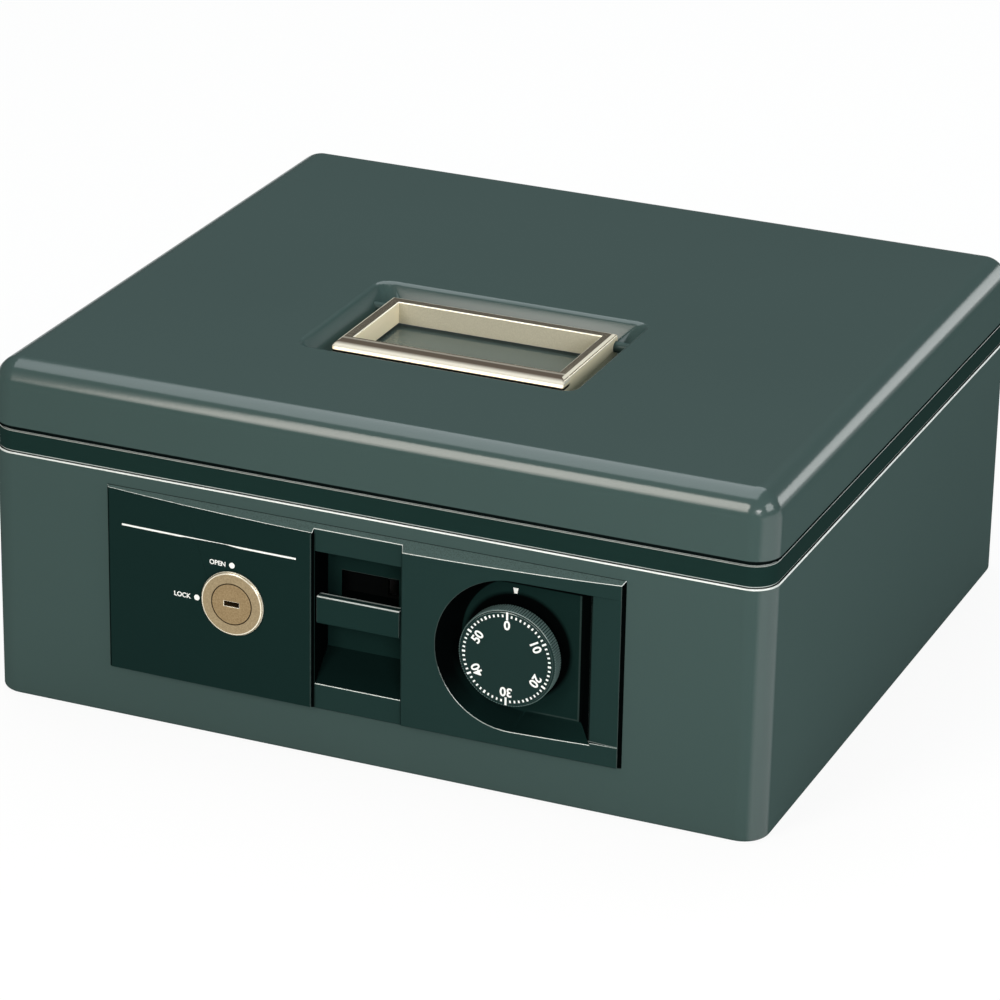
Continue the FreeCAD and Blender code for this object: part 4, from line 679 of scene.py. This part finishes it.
def add_ring_tree():
    """Bars in a ring about the dial's axis; every fifth, tenth and thirtieth can be larger."""
    tree = bpy.data.node_groups.new("ring_of_bars", "GeometryNodeTree")
    sockets = tree.interface
    sockets.new_socket("Geometry", in_out="INPUT", socket_type="NodeSocketGeometry")
    sockets.new_socket("Count", in_out="INPUT", socket_type="NodeSocketInt")
    for size in ("Radius", "Width", "Depth", "Length",
                 "Wider At Fives", "Longer At Tens", "Longer At Thirties"):
        sockets.new_socket(size, in_out="INPUT", socket_type="NodeSocketFloat")
    sockets.new_socket("Centre", in_out="INPUT", socket_type="NodeSocketVector")
    sockets.new_socket("Finish", in_out="INPUT", socket_type="NodeSocketMaterial")
    sockets.new_socket("Geometry", in_out="OUTPUT", socket_type="NodeSocketGeometry")
    nodes, links = tree.nodes, tree.links
    given = nodes.new("NodeGroupInput").outputs
    index = nodes.new("GeometryNodeInputIndex").outputs["Index"]
    turn = math_node(tree, "DIVIDE", math_node(tree, "MULTIPLY", index, math.tau), given["Count"])
    spot = nodes.new("ShaderNodeCombineXYZ")
    links.new(math_node(tree, "MULTIPLY", math_node(tree, "SINE", turn), given["Radius"]), spot.inputs["X"])
    links.new(math_node(tree, "MULTIPLY", math_node(tree, "COSINE", turn), given["Radius"]), spot.inputs["Z"])
    points = nodes.new("GeometryNodePoints")
    links.new(given["Count"], points.inputs["Count"])
    links.new(spot.outputs["Vector"], points.inputs["Position"])
    bar = nodes.new("GeometryNodeMeshCube")
    bar_size = nodes.new("ShaderNodeCombineXYZ")
    for axis, size in zip("XYZ", ("Width", "Depth", "Length")):
        links.new(given[size], bar_size.inputs[axis])
    links.new(bar_size.outputs["Vector"], bar.inputs["Size"])

    def at_every(step, gain):
        place = math_node(tree, "MODULO", math_node(tree, "ADD", index, 0.5), step)
        return math_node(tree, "MULTIPLY", math_node(tree, "LESS_THAN", place, 1), gain)

    wider = math_node(tree, "ADD", at_every(5, given["Wider At Fives"]), 1)
    longer = math_node(tree, "ADD", math_node(tree, "ADD", wider, at_every(10, given["Longer At Tens"])),
                       at_every(30, given["Longer At Thirties"]))
    grown = nodes.new("ShaderNodeCombineXYZ")
    grown.inputs["Y"].default_value = 1
    links.new(wider, grown.inputs["X"])
    links.new(longer, grown.inputs["Z"])
    lean = nodes.new("ShaderNodeCombineXYZ")
    links.new(turn, lean.inputs["Y"])
    turned = nodes.new("FunctionNodeEulerToRotation")
    links.new(lean.outputs["Vector"], turned.inputs["Euler"])
    spread = nodes.new("GeometryNodeInstanceOnPoints")
    links.new(points.outputs["Points"], spread.inputs["Points"])
    links.new(bar.outputs["Mesh"], spread.inputs["Instance"])
    links.new(turned.outputs["Rotation"], spread.inputs["Rotation"])
    links.new(grown.outputs["Vector"], spread.inputs["Scale"])
    placed = nodes.new("GeometryNodeTransform")
    links.new(spread.outputs["Instances"], placed.inputs["Geometry"])
    links.new(given["Centre"], placed.inputs["Translation"])
    real = nodes.new("GeometryNodeRealizeInstances")
    links.new(placed.outputs["Geometry"], real.inputs["Geometry"])
    painted = nodes.new("GeometryNodeSetMaterial")
    links.new(real.outputs["Geometry"], painted.inputs["Geometry"])
    links.new(given["Finish"], painted.inputs["Material"])
    links.new(painted.outputs["Geometry"], nodes.new("NodeGroupOutput").inputs["Geometry"])
    return tree


RING = add_ring_tree()


def ring_of_bars(name, material, sizes):
    """One ring from the tree, as a plain mesh that turns with the dial."""
    piece = new_piece(name, bpy.data.meshes.new(name), material)
    ring = piece.modifiers.new("ring", "NODES")
    ring.node_group = RING
    sockets = {item.name: item.identifier for item in RING.interface.items_tree if item.in_out == "INPUT"}
    for size, value in sizes.items():
        ring[sockets[size]] = value
    ring[sockets["Finish"]] = material
    made_plain(piece)
    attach(piece, "dial")
    return piece


TICKS = 60
TICK_RING, TICK_WIDTH, TICK_LENGTH = mm(16.2, 0.6, 0.95)
ring_of_bars("dial_divisions", white_ink, {
    "Count": TICKS, "Radius": TICK_RING, "Width": TICK_WIDTH, "Depth": PRINT_THICKNESS, "Length": TICK_LENGTH,
    "Wider At Fives": 0.25, "Longer At Tens": 0.5, "Longer At Thirties": 1.4,
    "Centre": (DIAL_X, DIAL_FACE, DIAL_Z)})

RIBS = 120
RIB_WIDTH, RIB_HEIGHT, RIB_MARGIN, SKIRT_DEPTH = mm(0.55, 0.3, 0.7, 6)
# Painted light: the ribs are coloured far lighter than the knob and mottled, as light and highlights on the
# skirt.
RIB_LIGHT_TONES = ((0.15, 0.22, 0.21, 1), (0.040, 0.075, 0.070, 1))
rib_light = finish_material("rib_painted_light_plastic", RIB_LIGHT_TONES, (0.40, 0.50), 0.6 * MM, 0.01 * MM, fleck=0.9)
ring_of_bars("dial_grip_ribs", rib_light, {
    "Count": RIBS, "Radius": DIAL_RADIUS, "Width": RIB_WIDTH, "Depth": SKIRT_DEPTH - 2 * RIB_MARGIN,
    "Length": 2 * RIB_HEIGHT, "Wider At Fives": 0.0, "Longer At Tens": 0.0, "Longer At Thirties": 0.0,
    "Centre": (DIAL_X, DIAL_FACE + SKIRT_DEPTH / 2, DIAL_Z)})

NUMBER_STEP = 10
NUMBER_RING, NUMBER_HEIGHT, NUMBER_WEIGHT = mm(12.75, 3.3, 0.12)
numbers = []
for number in range(0, TICKS, NUMBER_STEP):
    turn = math.tau * number / TICKS
    numbers.append(moved(drawn_words(str(number), NUMBER_HEIGHT, NUMBER_WEIGHT),
                         DIAL_X + NUMBER_RING * math.sin(turn), DIAL_Z + NUMBER_RING * math.cos(turn), turn))
printed("dial_numbers", numbers, dial, "dial")

POINTER_X, POINTER_TOP, POINTER_HEIGHT, POINTER_HALF_TOP, POINTER_HALF_FOOT = mm(55.4, 78.3, 2.1, 1.0, 0.55)
POINTER_FOOT = POINTER_TOP - POINTER_HEIGHT
pointer = [(POINTER_X - POINTER_HALF_TOP, POINTER_TOP), (POINTER_X - POINTER_HALF_FOOT, POINTER_FOOT),
           (POINTER_X + POINTER_HALF_FOOT, POINTER_FOOT), (POINTER_X + POINTER_HALF_TOP, POINTER_TOP)]
printed("dial_pointer", [drawn_shape(pointer)], panel, "box")


# Finger lever: a moulded bar across the pocket, on a stem that passes through to the slide.
# The same plastic as the panel, a little smoother, with painted highlights along the bar's edges and painted
# shade on the stem.
LEVER = ((0.0105, 0.0275, 0.0252, 1), (0.0088, 0.0238, 0.0218, 1))
LEVER_HIGHLIGHT, REAR_HIGHLIGHT, STEM_SHADE = (0.55, 0.60, 0.58, 1), (0.30, 0.34, 0.33, 1), (0.001, 0.002, 0.002, 1)
LEVER_EASE, LEVER_FRONT = 0.25 * MM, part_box("latch_lever")[0].y
REAR_EDGE, STEM_FRONT, BAR_BACK = mm(2.7, 2.8), mm(3.5, 3.6), LEVER_FRONT + 3 * MM
LEVER_LINE_TILT, LEVEL_TILT = (0.5, 0.7), (0.9, 0.95)
lever_plastic = finish_material("lever_plastic", LEVER, (0.36, 0.46), 0.5 * MM, 0.01 * MM)
behind_edge, behind_bar = (between(lever_plastic, "Y", LEVER_FRONT + start, LEVER_FRONT + full)
                           for start, full in (REAR_EDGE, STEM_FRONT))
change_where(lever_plastic, facing(lever_plastic, "Top Edge", *LEVER_LINE_TILT),
             {"Base Color": LEVER_HIGHLIGHT, "Coat Weight": 1.0})
change_where(lever_plastic, common(lever_plastic, facing(lever_plastic, "Upward", *LEVEL_TILT), behind_edge),
             {"Base Color": REAR_HIGHLIGHT})
change_where(lever_plastic, behind_bar, {"Base Color": STEM_SHADE})


def fingered(finish, center, normal):
    """The upright edges of the bar get the faint painted highlight."""
    return FAINT if finish and abs(normal.z) < TILTED and center.y < BAR_BACK else PLAIN


dress("latch_lever", lever_plastic, LEVER_EASE, (highlight_edge, faint_highlight_edge), fingered)


# Lid: pressed from one sheet with generously rolled edges and a recess sunk for the handle.
# The same enamel as the body, glossy on the rolls and the top; the strike hangs inside it.
RECESS_FLOOR_LIGHT = ((0.072, 0.100, 0.094, 1), (0.066, 0.094, 0.088, 1))
WALL_GLOSS, FLOOR_GLOSS, DULL_GLOSS, DULL_ROUGHNESS = 0.4, 1, 0.08, (0.40, 0.48)
LID_ROLL_TILT, LID_FOOT = (0.28, 0.42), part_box("lid_shell")[0].z
LID_SHADE = [LID_FOOT + rise for rise in mm(1.1, 0.9)]
lid_paint = enamel("lid_enamel", PAINT_GLOSS)
recess_wall_paint = enamel("recess_wall_enamel", WALL_GLOSS)
# The recess floor's lighter tone is a painted reflection.
recess_floor_light_paint = enamel("recess_floor_painted_light_enamel", FLOOR_GLOSS, RECESS_FLOOR_LIGHT)
dull_paint = enamel("dull_enamel", DULL_GLOSS, roughness=DULL_ROUGHNESS)
for mask in (facing(lid_paint, "Upward", *LID_ROLL_TILT), facing(lid_paint, "Corner")):
    change_where(lid_paint, mask, {"Coat Weight": ROLL_GLOSS})
# Painted shadow: the lid's lowest millimetre is near-black, along the gap above the rim.
change_where(lid_paint, between(lid_paint, "Z", *LID_SHADE), {"Base Color": JOINT_SHADE, "Coat Weight": 0.0})

SUNK_REACH, SUNK_FRONT, SUNK_BACK, SUNK_TOP = mm(70, -85, 15, 129.2)
SUNK_WALL, SUNK_FLOOR, SUNK_LEFT_WALL = 1, 2, 3
LEVEL, FACING_RIGHT = 0.98, 0.3


def sunk(finish, center, normal):
    """The recess's walls are duller than the rolls, its left wall most; its floor is coloured lighter as a
    painted reflection.
    """
    if abs(center.x) > SUNK_REACH or not SUNK_FRONT <= center.y <= SUNK_BACK or center.z > SUNK_TOP:
        return PLAIN
    return SUNK_FLOOR if normal.z > LEVEL else SUNK_LEFT_WALL if normal.x > FACING_RIGHT else SUNK_WALL


dress("lid_shell", lid_paint, others=(recess_wall_paint, recess_floor_light_paint, dull_paint), pick=sunk)
dress("lid_strike", steel)


# Ring handle: a cast square ring that folds flat into the recess, on two painted pins.
# Champagne plating, polished on the top and the slanted grip, blasted to a satin grain on its sides.
HANDLE_SIDE = ((0.66, 0.63, 0.50, 1), (0.40, 0.37, 0.28, 1))
HANDLE_END_LIGHT, HANDLE_TOP = (0.95, 0.85, 0.62, 1), (0.47, 0.40, 0.30, 1)
GRIP_SHADE, GRIP_HIGHLIGHT, GRIP_DARK_REFLECTION = (0.004, 0.005, 0.004, 1), (0.80, 0.76, 0.66, 1), (0.095, 0.075, 0.058, 1)
GRIP_BACK, GRIP_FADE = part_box("handle")[0].y + 8 * MM, 2 * MM
GRIP_LINE_RISE, GRIP_LINE_FALL = mm(124.0, 124.3), mm(125.3, 125.0)
GRIP_ROUND, GRIP_BROW, HANDLE_TOP_TILT = mm(126.0, 126.3), mm(127.0, 127.9), (0.2, 0.35)
handle_metal = finish_material("champagne_plating", HANDLE_SIDE, (0.52, 0.64), 0.45 * MM, 0.02 * MM,
                               metallic=0.2, fleck=0.7)
grip_front = between(handle_metal, "Y", GRIP_BACK, GRIP_BACK - GRIP_FADE)
grip_highlight, grip_reflection = (common(handle_metal, between(handle_metal, "Z", *places), grip_front)
                         for places in (GRIP_ROUND, GRIP_BROW))
grip_shadow_line = common(handle_metal, band(handle_metal, "Z", GRIP_LINE_RISE, GRIP_LINE_FALL), grip_front)
# Painted light: a cream highlight on the grip's rounded front, a dark brown painted reflection above it, a
# painted shadow line at its foot, and lightened ends.
change_where(handle_metal, facing(handle_metal, "Upward", *HANDLE_TOP_TILT),
             {"Base Color": HANDLE_TOP, "Metallic": 1.0, "Roughness": 0.24})
change_where(handle_metal, facing(handle_metal, "Sideways"), {"Base Color": HANDLE_END_LIGHT})
change_where(handle_metal, grip_highlight, {"Base Color": GRIP_HIGHLIGHT, "Metallic": 0.0, "Roughness": 0.5})
change_where(handle_metal, grip_reflection, {"Base Color": GRIP_DARK_REFLECTION})
change_where(handle_metal, grip_shadow_line, {"Base Color": GRIP_SHADE, "Metallic": 0.0, "Roughness": 0.6})

GRIP_ROUNDING, SLIGHT_EASE = 2.4 * MM, 0.13
FRONTWARD, SLANTED, STEEP_UP = -0.02, -0.3, 0.75


def plated(finish, center, normal):
    """The rounded front of the grip keeps the plating; the other eased edges get the painted highlight."""
    return PLAIN if center.y < GRIP_BACK and normal.y < FRONTWARD else finish


def grip_ease(normal):
    """The upper front edges are rounded in full, the others only a little."""
    return 1 if normal.y < SLANTED and normal.z > STEEP_UP else SLIGHT_EASE


dress("handle", handle_metal, GRIP_ROUNDING, (highlight_bevel,), plated, grip_ease)
dress("handle_pins", dull_paint)


# Coin tray: a lift-out moulding with four scooped coin cups and two note wells.
# Dark grey plastic, hung from the rim by its side flanges.
TRAY = ((0.045, 0.055, 0.053, 1), (0.038, 0.047, 0.045, 1))
tray_plastic = finish_material("tray_plastic", TRAY, (0.45, 0.58), 0.6 * MM, 0.012 * MM)
TRAY_EASE = 0.3 * MM
dress("coin_tray", tray_plastic, TRAY_EASE)


# Studio: a pale floor that reads white, soft panels round the box, and the camera.
# The floor takes the box's shadow; the overhead and front panels give the two light bands along the
# lid's front edge, the one at the back the band along its right edge.
FLOOR_TONE, FLOOR_SPAN, FLOOR_GLOW = (0.92, 0.92, 0.91, 1), 12.0, 0.9
floor_solid = bmesh.new()
bmesh.ops.create_grid(floor_solid, x_segments=1, y_segments=1, size=FLOOR_SPAN / 2)
floor_mesh = bpy.data.meshes.new("floor")
floor_solid.to_mesh(floor_mesh)
floor_solid.free()
floor_material = bpy.data.materials.new("pale_floor")
floor_material.use_nodes = True
nodes, links = floor_material.node_tree.nodes, floor_material.node_tree.links
floor_surface = nodes["Principled BSDF"]
floor_surface.inputs["Base Color"].default_value = FLOOR_TONE
floor_surface.inputs["Roughness"].default_value = 0.9
floor_surface.inputs["Specular IOR Level"].default_value = 0
glow = nodes.new("ShaderNodeEmission")
rays = nodes.new("ShaderNodeLightPath").outputs
seen = rays["Is Camera Ray"]
for ray in ("Is Glossy Ray", "Is Transmission Ray"):
    either = nodes.new("ShaderNodeMath")
    either.operation = "MAXIMUM"
    links.new(seen, either.inputs[0])
    links.new(rays[ray], either.inputs[1])
    seen = either.outputs["Value"]
share = nodes.new("ShaderNodeMath")
share.operation = "MULTIPLY"
share.inputs[1].default_value = FLOOR_GLOW
links.new(seen, share.inputs[0])
blend = nodes.new("ShaderNodeMixShader")
links.new(share.outputs["Value"], blend.inputs["Fac"])
links.new(floor_surface.outputs["BSDF"], blend.inputs[1])
links.new(glow.outputs["Emission"], blend.inputs[2])
links.new(blend.outputs["Shader"], nodes["Material Output"].inputs["Surface"])
new_piece("floor", floor_mesh, floor_material)

WORLD_TINT, WORLD_LIGHT = (1.0, 0.98, 0.95, 1), 0.10
world = bpy.data.worlds.new("studio")
world.use_nodes = True
backdrop = world.node_tree.nodes["Background"]
backdrop.inputs["Color"].default_value, backdrop.inputs["Strength"].default_value = WORLD_TINT, WORLD_LIGHT
bpy.context.scene.world = world


def soft_panel(name, place, aim, size, radiance, tint):
    """A rectangular light panel whose face has a given brightness, unseen by the camera itself."""
    lamp = bpy.data.lights.new(name, "AREA")
    lamp.shape, lamp.size, lamp.size_y = "RECTANGLE", *size
    lamp.energy = radiance * math.pi * size[0] * size[1]
    lamp.color = tint
    panel_light = bpy.data.objects.new(name, lamp)
    bpy.context.scene.collection.objects.link(panel_light)
    panel_light.location = place
    panel_light.rotation_euler = (Vector(aim) - Vector(place)).to_track_quat("-Z", "Y").to_euler()
    panel_light.visible_camera = False


LID_TOP = Vector((0, 0, 130 * MM))
soft_panel("overhead_panel", (-0.25, 0.50, 1.25), (-0.25, 0.50, 0), (1.1, 1.9), 2.5, (0.90, 0.97, 1.0))
soft_panel("front_panel", (-0.54, -1.50, 0.97), LID_TOP, (0.6, 1.1), 7.0, (1.0, 0.95, 0.87))
soft_panel("fill_panel", (0.50, -0.78, 0.36), (0.12, -0.13, 0.06), (0.32, 0.32), 10.0, (1.0, 0.99, 0.98))
soft_panel("right_panel", (1.45, -0.25, 0.90), LID_TOP, (0.9, 0.7), 4.4, (0.97, 1.0, 0.99))
soft_panel("back_panel", (0.85, 1.35, 0.33), LID_TOP, (0.8, 0.45), 3.7, (0.98, 1.0, 0.99))

CAMERA_AIM = Vector((-6.208, 0, 50.03)) * MM
CAMERA_AZIMUTH, CAMERA_ELEVATION, CAMERA_ROLL = (math.radians(angle) for angle in (22.774, 22.950, 1.061))
CAMERA_DISTANCE, CAMERA_LENS, CAMERA_SENSOR, CAMERA_NEAR = 1704.561 * MM, 162.16, 36, 0.05
backward = Vector((math.sin(CAMERA_AZIMUTH) * math.cos(CAMERA_ELEVATION),
                   -math.cos(CAMERA_AZIMUTH) * math.cos(CAMERA_ELEVATION), math.sin(CAMERA_ELEVATION)))
level_right = Vector((math.cos(CAMERA_AZIMUTH), math.sin(CAMERA_AZIMUTH), 0))
level_up = backward.cross(level_right)
right = math.cos(CAMERA_ROLL) * level_right + math.sin(CAMERA_ROLL) * level_up
up = backward.cross(right)
lens = bpy.data.cameras.new("camera")
lens.lens, lens.sensor_width = CAMERA_LENS, CAMERA_SENSOR
lens.clip_start = CAMERA_NEAR
camera = bpy.data.objects.new("camera", lens)
bpy.context.scene.collection.objects.link(camera)
camera.matrix_world = Matrix.Translation(CAMERA_AIM + backward * CAMERA_DISTANCE) @ Matrix(
    (right, up, backward)).transposed().to_4x4()
bpy.context.scene.camera = camera
bpy.context.scene.view_settings.view_transform = "Standard"
